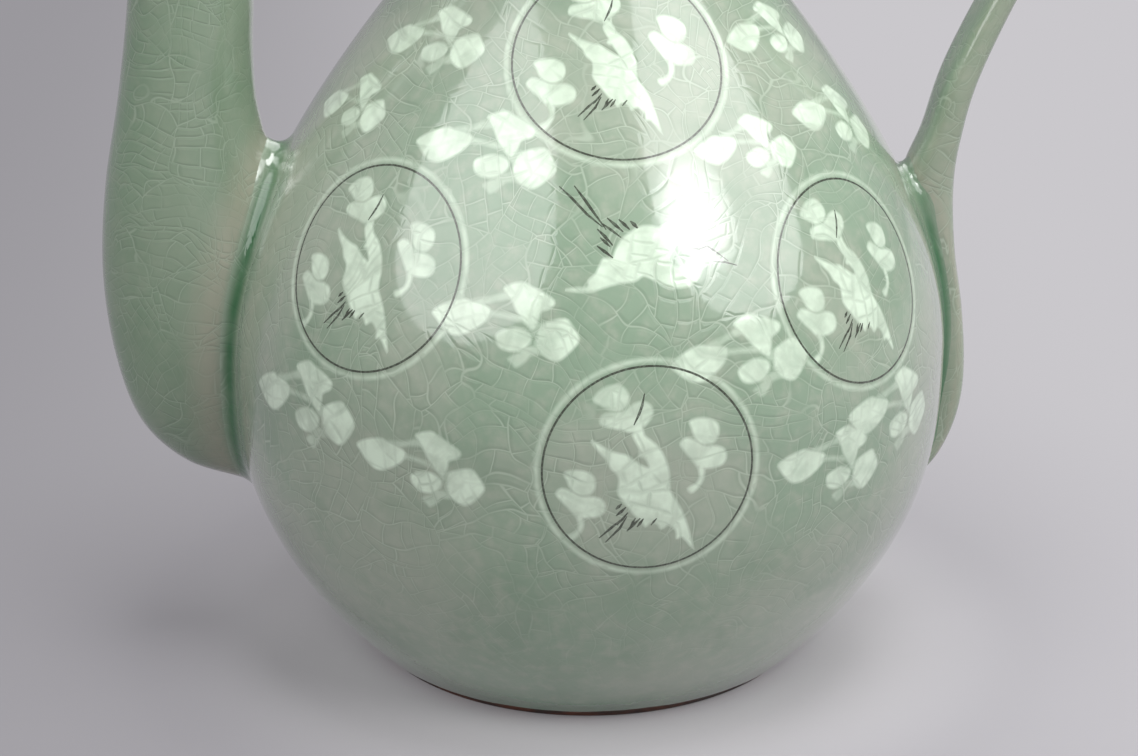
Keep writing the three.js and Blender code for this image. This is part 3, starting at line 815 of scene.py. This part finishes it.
# %% [markdown]
# ## Handle
# A strap handle is pulled from a roll of clay, laid along the belly, thinned to a point at its tail,
# and pressed on. It swells where it leaves the bulb, rises in one bow and turns in to the upper bulb.

# %% Roll the strap and cut it to both bulbs
STRAP_FROM_BELLY = [
    (-7, -35.5, 2), (-0.6, -30.5, 2), (3.3, -24, 2), (5.6, -16, 2), (6.1, -7, 2.5), (4.9, 5.5, 2.5),
    (2.6, 19, 2.5), (1.7, 32, 4.8), (2.6, 42.5, 1.9), (5.6, 55, 1.1), (12.6, 71.6, 0.3),
    (20.5, 86, 0), (26.8, 102, 0), (29, 118, 0), (26.5, 134, 0), (18.5, 146.5, 0),
]
STRAP_FROM_UPPER = [(43, 18.5, 0), (29.5, 19, 0), (16.5, 13.5, 0), (5, 7, 0.5), (-7.5, 2, 1)]
STRAP_WIDTH, STRAP_THICKNESS, STRAP_SQUARENESS = 13.0, 5.5, 3.2
STRAP_RINGS, STRAP_SIDES = 280, 48
stations = [(BELLY_RADIUS + o, BELLY_HEIGHT + u, e) for o, u, e in STRAP_FROM_BELLY]
stations += [(UPPER_RADIUS + o, UPPER_HEIGHT + u, e) for o, u, e in STRAP_FROM_UPPER]
path = smooth_rail(stations, STRAP_RINGS)
face = np.stack([path[:, 0], np.full(STRAP_RINGS, STRAP_WIDTH / 2), path[:, 1]], 1)
run = unit(np.gradient(face, axis=0))
inward = np.stack([-run[:, 2], np.zeros(STRAP_RINGS), run[:, 0]], 1)
back = face + inward * (STRAP_THICKNESS + path[:, 2:])
strap = rolled("handle_strap", sections(face, back, STRAP_SQUARENESS, STRAP_SIDES))
strap_seam = cut_by(strap, lower_core)
root_seam = cut_by(strap, upper_core)
print("strap seams:", len(strap_seam), "and", len(root_seam), "points")

# %% [markdown]
# ## Glaze in the seams
# Celadon glaze runs when it melts, and stands deep green in every angle between two pieces. Each seam
# gets a fillet of glaze: a curve from the bulb to the piece, carried along the line where they meet.

# %% Run glaze along a seam
SUNK, PROBE = 0.06, 1.3
FILLET_DEPTH, CROTCH_REACH = 0.8, 7


def eased(loop, times):
    """A closed line with each point drawn towards its two neighbours."""
    for _ in range(times):
        loop = 0.5 * loop + 0.25 * (np.roll(loop, 1, 0) + np.roll(loop, -1, 0))
    return loop


def even(loop, step):
    """A closed line with points at an even step, eased a little."""
    closed = np.vstack([loop, loop[:1]])
    run = np.concatenate([[0], np.cumsum(np.linalg.norm(np.diff(closed, axis=0), axis=1))])
    share = np.linspace(0, run[-1], round(run[-1] / step), endpoint=False)
    return eased(np.stack([np.interp(share, run, closed[:, k]) for k in range(3)], 1), 3)


def surface_of(piece):
    form = bmesh.new()
    form.from_mesh(piece.data)
    tree = BVHTree.FromBMesh(form)
    form.free()
    return tree


def run_glaze(name, loop, line, piece, width, crotch):
    """A fillet of glaze along a seam between a bulb's outline and a piece, wider in the crotch."""
    tree = surface_of(piece)
    loop = even(loop, 1.0)
    high = np.exp(-(((loop[:, 2].max() - loop[:, 2]) / CROTCH_REACH) ** 2))[:, None]
    width = width + crotch * high
    on_bulb = line.normals(loop)
    on_piece = np.array([tuple(tree.find_nearest(Vector((spot + PROBE * normal) * MM))[1])
                         for spot, normal in zip(loop, on_bulb)])
    on_piece = unit(eased(on_piece, 4))
    level = (on_bulb * on_piece).sum(1)[:, None]
    along_bulb, along_piece = unit(on_piece - level * on_bulb), unit(on_bulb - level * on_piece)
    foot = loop + along_bulb * width
    scale = line.radius_at(foot[:, 2]) / np.hypot(foot[:, 0], foot[:, 1])
    foot[:, :2] *= scale[:, None]
    foot -= SUNK * on_bulb
    head = np.array([np.array(tree.find_nearest(Vector(spot * MM))[0]) / MM
                     for spot in loop + along_piece * width])
    head -= SUNK * on_piece
    deep = unit(on_bulb + on_piece)
    middle = loop + 0.1 * width * deep
    rings, pool = [], []
    for t in np.linspace(0, 1, 11):
        rings.append((1 - t) ** 2 * foot + 2 * t * (1 - t) * middle + t * t * head)
        pool.append(math.sin(math.pi * t) ** 1.1 * (1 - 0.3 * high[:, 0]))
    rings.append(loop - FILLET_DEPTH * deep)
    pool.append(np.zeros(len(loop)))
    return rolled(name, np.stack(rings, 1), endless=True, pool=np.stack(pool, 1))


seams = [
    run_glaze("glaze_at_spout", spout_seam, lower_line, spout, 3.3, 1.5),
    run_glaze("glaze_at_handle", strap_seam, lower_line, strap, 3.0, 3.4),
    run_glaze("glaze_at_root", root_seam, upper_line, strap, 2.4, 0.8),
]
print("seams of glaze:", [len(piece.data.polygons) for piece in seams])


# %% Thin the glaze beside the seams
def thin_beside(piece, loop, start, end):
    """The glaze runs off beside a seam, and leaves a pale band on the piece."""
    spots, line = points_of(piece), even(loop, 2.0)
    away = np.sqrt(((spots[:, None] - line[None]) ** 2).sum(2).min(1))
    rise = np.clip((away - start) / 1.5, 0, 1)
    fall = np.clip((end - away) / (0.6 * (end - start)), 0, 1)
    return rise * fall


EDGE_FROM, EDGE_FADE = 4.6, 1.6
FOOT_POOL_SHADE_TOP, FOOT_POOL_SHADE_FADE = 14, 12
edge_wear = ((np.abs(points_of(strap)[:, 1]) - EDGE_FROM) / EDGE_FADE).clip(0, 1) * 0.5
mark(spout, "thin", thin_beside(spout, spout_seam, 2.5, 11))
mark(strap, "thin", np.maximum(thin_beside(strap, strap_seam, 2.5, 7), edge_wear))
# The spout and handle take painted shade as a darker olive green. Their thicker glaze also cracks finer.
for piece, thick_glaze_and_shade in ((spout, 0.8), (strap, 0.3)):
    mark(piece, "thick", np.full(len(piece.data.vertices), thick_glaze_and_shade))
# Pooled glaze and painted shade: the glaze darkens to deep green towards the foot.
for piece in (foot_ring, lower_bulb):
    lowness = ((FOOT_POOL_SHADE_TOP - points_of(piece)[:, 2]) / FOOT_POOL_SHADE_FADE).clip(0, 1)
    mark(piece, "pool", lowness ** 1.6 * 0.85)
print("points marked:", len(spout.data.vertices) + len(strap.data.vertices))

# %% [markdown]
# ## Loops for the lid's cord
# A small roll of clay is bent into an arch and pressed down at both ends, on the handle's crest and on
# the lid. Each starts as a torus. Half is cut away, and the legs are drawn down and spread.

# %% Bend the two loops
LOOP_RADIUS, LOOP_ROLL = 3.6, 1.3
LEG_STEPS = [(0.5, 1.04), (0.5, 1.14), (0.4, 1.25), (1.2, 1.0)]
crest = face[face[:, 2].argmax()]


def cord_loop(name, foot, lean):
    """An arch of rolled clay. Each step of its legs has a drop in mm and a spread."""
    bpy.ops.object.select_all(action="DESELECT")
    bpy.ops.mesh.primitive_torus_add(
        major_radius=LOOP_RADIUS * MM, minor_radius=LOOP_ROLL * MM, major_segments=56,
        minor_segments=24, rotation=(math.pi / 2, 0, 0),
    )
    piece = bpy.context.object
    piece.name = piece.data.name = name
    bpy.ops.object.transform_apply(rotation=True)
    bpy.ops.object.mode_set(mode="EDIT")
    bpy.ops.mesh.select_all(action="SELECT")
    bpy.ops.mesh.bisect(plane_co=(0, 0, -1e-5), plane_no=(0, 0, 1), clear_inner=True)

    def pick_edges(wanted):
        """Pick the edges that are wanted, given the height of the lowest point, and return it."""
        form = bmesh.from_edit_mesh(piece.data)
        low = min(v.co.z for v in form.verts)
        for edge in form.edges:
            edge.select_set(wanted(edge, low + 1e-5))
        bmesh.update_edit_mesh(piece.data)
        return low

    for drop, spread in LEG_STEPS:
        bpy.ops.mesh.select_all(action="DESELECT")
        pick_edges(lambda edge, top: edge.is_boundary and edge.verts[0].co.z < top)
        bpy.ops.mesh.extrude_region_move(TRANSFORM_OT_translate={"value": (0, 0, -drop * MM)})
        for side in (-1, 1):
            low = pick_edges(
                lambda edge, top: all(v.co.z < top and v.co.x * side > 0 for v in edge.verts)
            )
            bpy.ops.transform.resize(
                value=(spread, spread, 1), center_override=(side * LOOP_RADIUS * MM, 0, low)
            )
            bpy.ops.mesh.select_all(action="DESELECT")
    bpy.ops.object.mode_set(mode="OBJECT")
    piece.rotation_euler = (0, lean, 0)
    up = Vector((math.sin(lean), 0, math.cos(lean)))
    piece.location = Vector(foot) * MM + up * LOOP_ROLL * MM
    bpy.ops.object.transform_apply(location=True, rotation=True)
    tidy_faces(piece, ROLLED_CREASE)
    return piece


CAP_RADIUS, CAP_SPRING, CAP_DOME, LID_LOOP_SHARE = 17.3, 244.0, 8.0, 0.66
lid_turn = math.acos(LID_LOOP_SHARE)
lid_foot = (CAP_RADIUS * math.cos(lid_turn), 0, CAP_SPRING + CAP_DOME * math.sin(lid_turn))
lid_lean = math.atan2(math.cos(lid_turn) / CAP_RADIUS, math.sin(lid_turn) / CAP_DOME)
handle_loop = cord_loop("handle_loop", (crest[0], 0, crest[2]), 0)
lid_loop = cord_loop("lid_loop", lid_foot, lid_lean)
print("loops stand", round(handle_loop.dimensions.z / MM, 1), "mm high")

# %% [markdown]
# ## Lid
# The lid is a small domed cap with a flange that drops into the mouth. A gourd's stalk, ridged and
# leaning a little, makes the knob. Two fine rings of slip run round the cap.

# %% Turn the cap and the flange, and roll the stalk
CAP_BASE, FLANGE_RADIUS, FLANGE_BORE, FLANGE_LOW = 241.6, 9.3, 6.9, 233.8
UNDER_RADIUS, UNDER_RISE, UNDER_SWEEP = 13.8, 4.5, 0.52
INK_RING, SLIP_RING = (13.3, 13.6), (14.2, 15.1)
ring_turns = np.arccos(np.array(INK_RING + SLIP_RING) / CAP_RADIUS)
turns = np.unique(np.concatenate([np.linspace(0, math.pi / 2, 33), ring_turns]))
dome = [(CAP_RADIUS * math.cos(t), CAP_SPRING + CAP_DOME * math.sin(t)) for t in turns[:-1]]
under = [(UNDER_RADIUS * math.sin(t), CAP_SPRING + UNDER_RISE * math.cos(t))
         for t in np.linspace(0, UNDER_SWEEP, 9)]
lid_cap = turned("lid_cap", [
    (0, under[0][1]), *under[1:], (FLANGE_BORE, CAP_BASE), (CAP_RADIUS - 1.0, CAP_BASE),
    (CAP_RADIUS - 0.3, CAP_BASE + 0.3), (CAP_RADIUS, CAP_BASE + 0.9), *dome, (0, CAP_SPRING + CAP_DOME),
])
flange = turned("lid_flange", [
    (FLANGE_BORE, CAP_BASE), (FLANGE_BORE, FLANGE_LOW + 0.4), (FLANGE_BORE + 0.4, FLANGE_LOW),
    (FLANGE_RADIUS - 0.8, FLANGE_LOW), (FLANGE_RADIUS - 0.2, FLANGE_LOW + 0.3),
    (FLANGE_RADIUS, FLANGE_LOW + 0.9), (FLANGE_RADIUS, CAP_BASE),
])
middles = np.array([tuple(f.center) for f in lid_cap.data.polygons]) / MM
out = np.hypot(middles[:, 0], middles[:, 1])
for kind, (low, high) in (("ink", INK_RING), ("slip", SLIP_RING)):
    mark(lid_cap, kind, (out > low) & (out < high) & (middles[:, 2] > CAP_SPRING), "FACE")

STEM_HEIGHT, STEM_RADIUS, STEM_LEAN = 14.0, 3.9, 3.0
STEM_RINGS, STEM_SIDES = 60, 72
STEM_STATIONS = [(-0.12, 1.45), (0.0, 1.12), (0.12, 0.9), (0.35, 0.68), (0.7, 0.62), (0.93, 0.8),
                 (0.99, 0.8), (1.0, 0.72), (0.985, 0.45), (0.975, 0.05)]
around = full_turn(STEM_SIDES)
stem_rings = []
for up, wide in smooth_rail(STEM_STATIONS, STEM_RINGS):
    ridge = 1 + 0.07 * np.cos(6 * around + 1.2 * up) * min(1, wide * 2)
    x = wide * STEM_RADIUS * ridge * np.cos(around) - STEM_LEAN * max(up, 0) ** 2
    y = wide * STEM_RADIUS * ridge * np.sin(around)
    z = np.full(STEM_SIDES, CAP_SPRING + CAP_DOME + up * STEM_HEIGHT)
    stem_rings.append(np.stack([x, y, z], 1))
lid_stem = rolled("lid_stem", np.array(stem_rings))
print("stalk", [round(v / MM, 1) for v in lid_stem.dimensions])

# %% [markdown]
# ## Celadon glaze
# Real celadon is grey clay under a thick, faintly green glaze. The colour drifts a little, deepens
# where the glaze pools and pales where it thins. Painted shade darkens the spout and the handle, the
# bulb just above the foot, where the glaze also pools, and the soft dip beside each crack. Long cracks
# run through it, with short ones between them. White slip shines through pale and soft, and black slip
# reads as dark green. A second glossy coat over the colour gives the clear, wet reflections. All of it
# is worked out from the place on the object, so the drift of the colour runs on from one piece to the
# next.

# %% Helpers for node materials
def tone(red, green, blue):
    """A colour given as it looks on screen."""
    def linear(value):
        value /= 255
        return value / 12.92 if value <= 0.04045 else ((value + 0.055) / 1.055) ** 2.4
    return (linear(red), linear(green), linear(blue), 1)


class Finish:
    """A material made node by node. An input may be a number, a colour or another node's output."""

    def __init__(self, name):
        self.material = bpy.data.materials.new(name)
        self.material.use_nodes = True
        self.tree = self.material.node_tree
        self.shader = self.tree.nodes["Principled BSDF"]
        self.place = self.add("ShaderNodeTexCoord", out="Object")

    def add(self, kind, inputs=None, out=0, **settings):
        made = self.tree.nodes.new(kind)
        for name, value in settings.items():
            setattr(made, name, value)
        for name, value in (inputs or {}).items():
            self.feed(made.inputs[name], value)
        return made.outputs[out]

    def feed(self, socket, value):
        if isinstance(value, bpy.types.NodeSocket):
            self.tree.links.new(value, socket)
        else:
            socket.default_value = value

    def math(self, operation, a, b=0.0):
        return self.add("ShaderNodeMath", {0: a, 1: b}, operation=operation)

    def ramp(self, value, low, high, start=0.0, end=1.0):
        return self.add("ShaderNodeMapRange", {"Value": value, "From Min": low, "From Max": high,
                        "To Min": start, "To Max": end}, interpolation_type="SMOOTHSTEP")

    def times(self, a, b):
        return self.math("MULTIPLY", a, b)

    def vector(self, operation, a, b=(0, 0, 0), out=0, **inputs):
        return self.add("ShaderNodeVectorMath", {0: a, 1: b, **inputs}, out=out, operation=operation)

    def dot(self, a, b):
        return self.vector("DOT_PRODUCT", a, b, out="Value")

    def blend(self, a, b, share):
        return self.add("ShaderNodeMix", {0: share, 6: a, 7: b}, out=2, data_type="RGBA")

    def noise(self, scale, detail=2.0, out="Fac"):
        return self.add("ShaderNodeTexNoise", {"Vector": self.place, "Scale": scale,
                        "Detail": detail}, out=out)

    def patches(self, scale, detail, *levels):
        return self.ramp(self.noise(scale, detail), *levels)

    def bump(self, strength, distance, height):
        return self.add("ShaderNodeBump", {"Strength": strength, "Distance": distance, "Height": height})

    def marked(self, kind):
        return self.add("ShaderNodeAttribute", out="Fac", attribute_name=kind)

    def shine(self, **values):
        for name, value in values.items():
            self.feed(self.shader.inputs[name.replace("_", " ")], value)


# %% Crackle
PATCH, BAND, RUNG = 15.0, 3.4, 4.6
LINE, DIP = 0.2, 0.7
BEND, SCATTER = 0.02, (1, 2, 3)


def crackle(glaze, thick):
    """Cracks as fine lines, and the soft dip of the glaze beside them, both from 0 to 1.

    The wall falls into patches. Long cracks cross each patch in its own direction, and short ones run
    between them like rungs, each band of rungs out of step with the next. Thick glaze, as on the spout,
    cracks finer and more nearly level.
    """
    finer = glaze.ramp(thick, 0, 1, 1.0, 1.5)

    def centred(colour):
        return glaze.vector("SUBTRACT", colour, (0.5, 0.5, 0.5))

    def cells(size, feature, out, at, kind="3D"):
        """Cells of about this size in mm, in space or, as 1D, along one number."""
        sockets = {"Vector" if kind == "3D" else "W": at,
                   "Scale": glaze.times(finer, 1 / (size * MM))}
        return glaze.add("ShaderNodeTexVoronoi", sockets, out=out, feature=feature,
                         voronoi_dimensions=kind)

    bend = glaze.vector("SCALE", centred(glaze.noise(40, 2, out="Color")), Scale=BEND)
    bent = glaze.vector("ADD", glaze.place, bend)
    patch = cells(PATCH, "F1", "Color", bent)
    middle = cells(PATCH, "F1", "Position", bent)
    normal = glaze.add("ShaderNodeTexCoord", out="Normal")
    level = glaze.add("ShaderNodeCombineXYZ", {0: 1.0, 1: 1.0, 2: glaze.ramp(thick, 0, 1, 1.0, 0.25)})
    heading = glaze.vector("MULTIPLY", centred(patch), level)
    long_way = glaze.vector("NORMALIZE", glaze.vector("CROSS_PRODUCT", normal, heading))
    short_way = glaze.vector("CROSS_PRODUCT", normal, long_way)
    spot = glaze.vector("SUBTRACT", bent, middle)
    across = glaze.math("ADD", glaze.dot(spot, long_way), glaze.dot(patch, SCATTER))
    band = glaze.dot(cells(BAND, "F1", "Color", across, "1D"), SCATTER)
    onward = glaze.math("ADD", glaze.dot(spot, short_way), band)
    edges = [
        (size, cells(size, "DISTANCE_TO_EDGE", "Distance", at, kind))
        for size, at, kind in ((PATCH, bent, "3D"), (BAND, across, "1D"), (RUNG, onward, "1D"))
    ]
    lines = [glaze.ramp(edge, 0.03 / size, LINE / size, 1, 0) for size, edge in edges]
    dips = [glaze.ramp(edge, 0, DIP / size, 1, 0) for size, edge in edges]
    height = glaze.dot(glaze.place, (0, 0, 1))
    strength = glaze.times(glaze.patches(110, 2, 0.35, 0.65, 0.35, 1.0),
                           glaze.ramp(height, 14 * MM, 54 * MM, 0.2, 1.0))
    line, dip = (glaze.math("MAXIMUM", glaze.math("MAXIMUM", a, b), c) for a, b, c in (lines, dips))
    line = glaze.times(line, glaze.ramp(thick, 0, 1, 1.0, 0.6))
    return glaze.times(line, strength), glaze.times(dip, strength)


# %% Mix the glaze
def mixed_glaze(name):
    """The glaze, one layer of colour over the other, each with its share."""
    glaze = Finish(name)
    slip, ink, pool, thin, thick = (glaze.marked(k) for k in ("slip", "ink", "pool", "thin", "thick"))
    line, dip = crackle(glaze, thick)
    streak = glaze.patches(240, 4, 0.3, 0.7, 0.55, 0.93)
    grain = glaze.patches(1500, 1, 0.3, 0.6, 0.75, 0.95)
    depth = glaze.patches(130, 2, 0.2, 0.8, 0.8, 1.0)
    colour = glaze.blend(tone(130, 151, 129), tone(146, 157, 140), glaze.patches(26, 3, 0.36, 0.64))
    for layer, share in [
        (tone(115, 138, 115), glaze.patches(75, 3, 0.45, 0.75, 0, 0.5)),
        (tone(160, 166, 150), glaze.patches(330, 3, 0.4, 0.8, 0, 0.5)),
        # Painted shade: the spout and handle are darkened towards olive green, where the glaze is also
        # thicker.
        (tone(92, 119, 90), glaze.times(thick, 0.6)),
        (tone(208, 225, 204), glaze.times(slip, streak)),
        (tone(166, 158, 142), glaze.times(thin, 0.45)),
        # Painted shade in the soft dip beside each crack.
        (tone(90, 112, 90), glaze.times(dip, 0.25)),
        (tone(196, 208, 190), glaze.times(line, 0.34)),
        (tone(50, 54, 44), glaze.times(ink, grain)),
        # Deep green where the glaze pools in the seams, and pooled glaze with painted shade just above
        # the foot.
        (tone(26, 88, 44), glaze.times(pool, depth)),
    ]:
        colour = glaze.blend(colour, layer, share)

    swell, peel = glaze.times(glaze.noise(70, 2), 0.5), glaze.times(glaze.noise(750, 2), 0.1)
    skin = glaze.math("ADD", swell, peel)

    def bumped(crack_depth):
        return glaze.bump(0.5, 0.00013, glaze.math("SUBTRACT", skin, glaze.times(dip, crack_depth)))

    glaze.shine(Base_Color=colour, Roughness=0.2, IOR=1.5, Specular_IOR_Level=0.2, Coat_Weight=1.0,
                Coat_Roughness=0.07, Coat_IOR=1.62, Normal=bumped(0.85), Coat_Normal=bumped(0.16))
    return glaze.material


celadon = mixed_glaze("celadon_glaze")
clay = Finish("bare_clay")
burnt = clay.blend(tone(46, 21, 9), tone(92, 44, 20), clay.patches(180, 3, 0.35, 0.7))
clay.shine(Base_Color=burnt, Roughness=0.8, Normal=clay.bump(0.6, 0.0002, clay.noise(900, 4)))
print("glaze nodes:", len(celadon.node_tree.nodes))

# %% Dress every piece and let it ride
EWER = {
    lower_bulb: ("lower_bulb_bowl", "lower_bulb_shoulder"),
    upper_bulb: ("upper_bulb_swell", "upper_bulb_shoulder"),
    collar: ("neck_collar",), spout: ("spout",), strap: ("handle_strap",),
    handle_loop: ("handle_loop",),
}
LID = {lid_cap: ("lid_cap",), flange: ("lid_flange",), lid_stem: ("lid_stem",), lid_loop: ("lid_loop",)}
for core in (lower_core, upper_core):
    bpy.data.objects.remove(core)
for body, pieces in (("ewer", EWER), ("lid", LID)):
    for piece, nodes in pieces.items():
        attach(piece, body)
        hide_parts(*nodes)
        piece.data.materials.append(celadon)
for piece in seams:
    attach(piece, "ewer")
    piece.data.materials.append(celadon)
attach(foot_ring, "ewer")
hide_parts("foot_ring")
foot_ring.data.materials.append(clay.material)
foot_ring.data.materials.append(celadon)
for polygon in foot_ring.data.polygons:
    polygon.material_index = int(polygon.center.z > GLAZE_END * MM)
print("pieces:", len(EWER) + len(LID) + len(seams) + 1)

# %% [markdown]
# ## Light and floor
# Two big softboxes stand to the left and the right of the camera, a little above it. Both mirror
# in the glaze, as they do in the photograph, and the right one has a hot middle. A third one hangs
# nearly overhead, and a fourth one behind keeps the back from going dark. The floor is grey paper
# with painted light: darker on the left, brighter on the right, and much brighter round the foot,
# where the ewer's shadow falls. The camera and the glaze see it mostly as a glowing ground with
# painted light, brighter on the right, which fades to an even grey far off.

# %% Set the softboxes
AIM = Vector((0, 0, 0.11))


def softbox(name, azimuth, elevation, size, brightness, distance=1.2, tall=1.0):
    """An oval lamp aimed at the shoulder. Azimuth runs from the camera to the right, in degrees."""
    a, e = math.radians(azimuth) - CAMERA_TURN, math.radians(elevation)
    way = Vector((math.sin(a) * math.cos(e), -math.cos(a) * math.cos(e), math.sin(e)))
    bpy.ops.object.light_add(type="AREA", location=AIM + way * distance)
    lamp = bpy.context.object
    lamp.name = name
    lamp.rotation_euler = way.to_track_quat("Z", "Y").to_euler()
    lamp.data.shape = "ELLIPSE"
    lamp.data.size, lamp.data.size_y = size, size * tall
    lamp.data.energy = math.pi * size * size * tall * brightness


softbox("lamp_left", -46, 37, 1.16, 2.0, tall=0.9)
softbox("lamp_right", 61, 40, 1.1, 2.4)
softbox("lamp_top", 62, 80, 0.7, 7.4)
softbox("lamp_back", 165, 46, 1.1, 1.6)
for step, size in enumerate((0.54, 0.43, 0.32, 0.21)):
    softbox(f"lamp_middle_{step}", 43, 37, size, 2.0, distance=1.1 - 0.005 * step, tall=0.72)

# %% Lay the floor
bpy.ops.object.select_all(action="DESELECT")
bpy.ops.mesh.primitive_circle_add(vertices=96, radius=8, fill_type="NGON")
floor = bpy.context.object
floor.name = "floor"
GROUND = tone(152, 150, 154)
paper = Finish("floor_paper")
far_off = paper.vector("LENGTH", paper.place, out="Value")
# Painted light: the paper is darker on the left and lighter on the right.
painted_light_to_right = paper.ramp(paper.dot(paper.place, (1, 0, 0)), -0.22, 0.18)
paper_tone_and_painted_light = paper.blend(tone(120, 118, 122), tone(145, 143, 147), painted_light_to_right)
# Painted light round the foot, which lightens the ewer's shadow there.
paper_tone_and_painted_light = paper.blend(paper_tone_and_painted_light, tone(194, 192, 194), paper.ramp(far_off, 0.045, 0.1, 0.9, 0))
paper.shine(Base_Color=paper_tone_and_painted_light, Roughness=0.9, Normal=paper.bump(0.1, 0.0003, paper.noise(300)))
seen = 0.0
for kind in ("Is Camera Ray", "Is Glossy Ray", "Is Transmission Ray"):
    seen = paper.math("MAXIMUM", seen, paper.add("ShaderNodeLightPath", out=kind))
share = paper.times(paper.ramp(far_off, 0.05, 0.2, 0.15, 1.0), seen)
# The glowing ground has painted light too: darker on the left and brighter on the right.
ground_with_painted_light = paper.blend(tone(154, 152, 157), tone(202, 200, 204), painted_light_to_right)
ground_with_painted_light = paper.blend(ground_with_painted_light, GROUND, paper.ramp(far_off, 0.8, 3))
ground = paper.add("ShaderNodeEmission", {"Color": ground_with_painted_light, "Strength": 1.0})
mixed = paper.add("ShaderNodeMixShader", {0: share, 1: paper.shader.outputs[0], 2: ground})
paper.tree.links.new(mixed, paper.tree.nodes["Material Output"].inputs["Surface"])
floor.data.materials.append(paper.material)

# %% Light the room
world = bpy.data.worlds.new("room")
bpy.context.scene.world = world
world.use_nodes = True
background = world.node_tree.nodes["Background"].inputs
background["Color"].default_value = GROUND
background["Strength"].default_value = 1.0
bpy.context.scene.view_settings.view_transform = "Standard"
print("the room is lit")
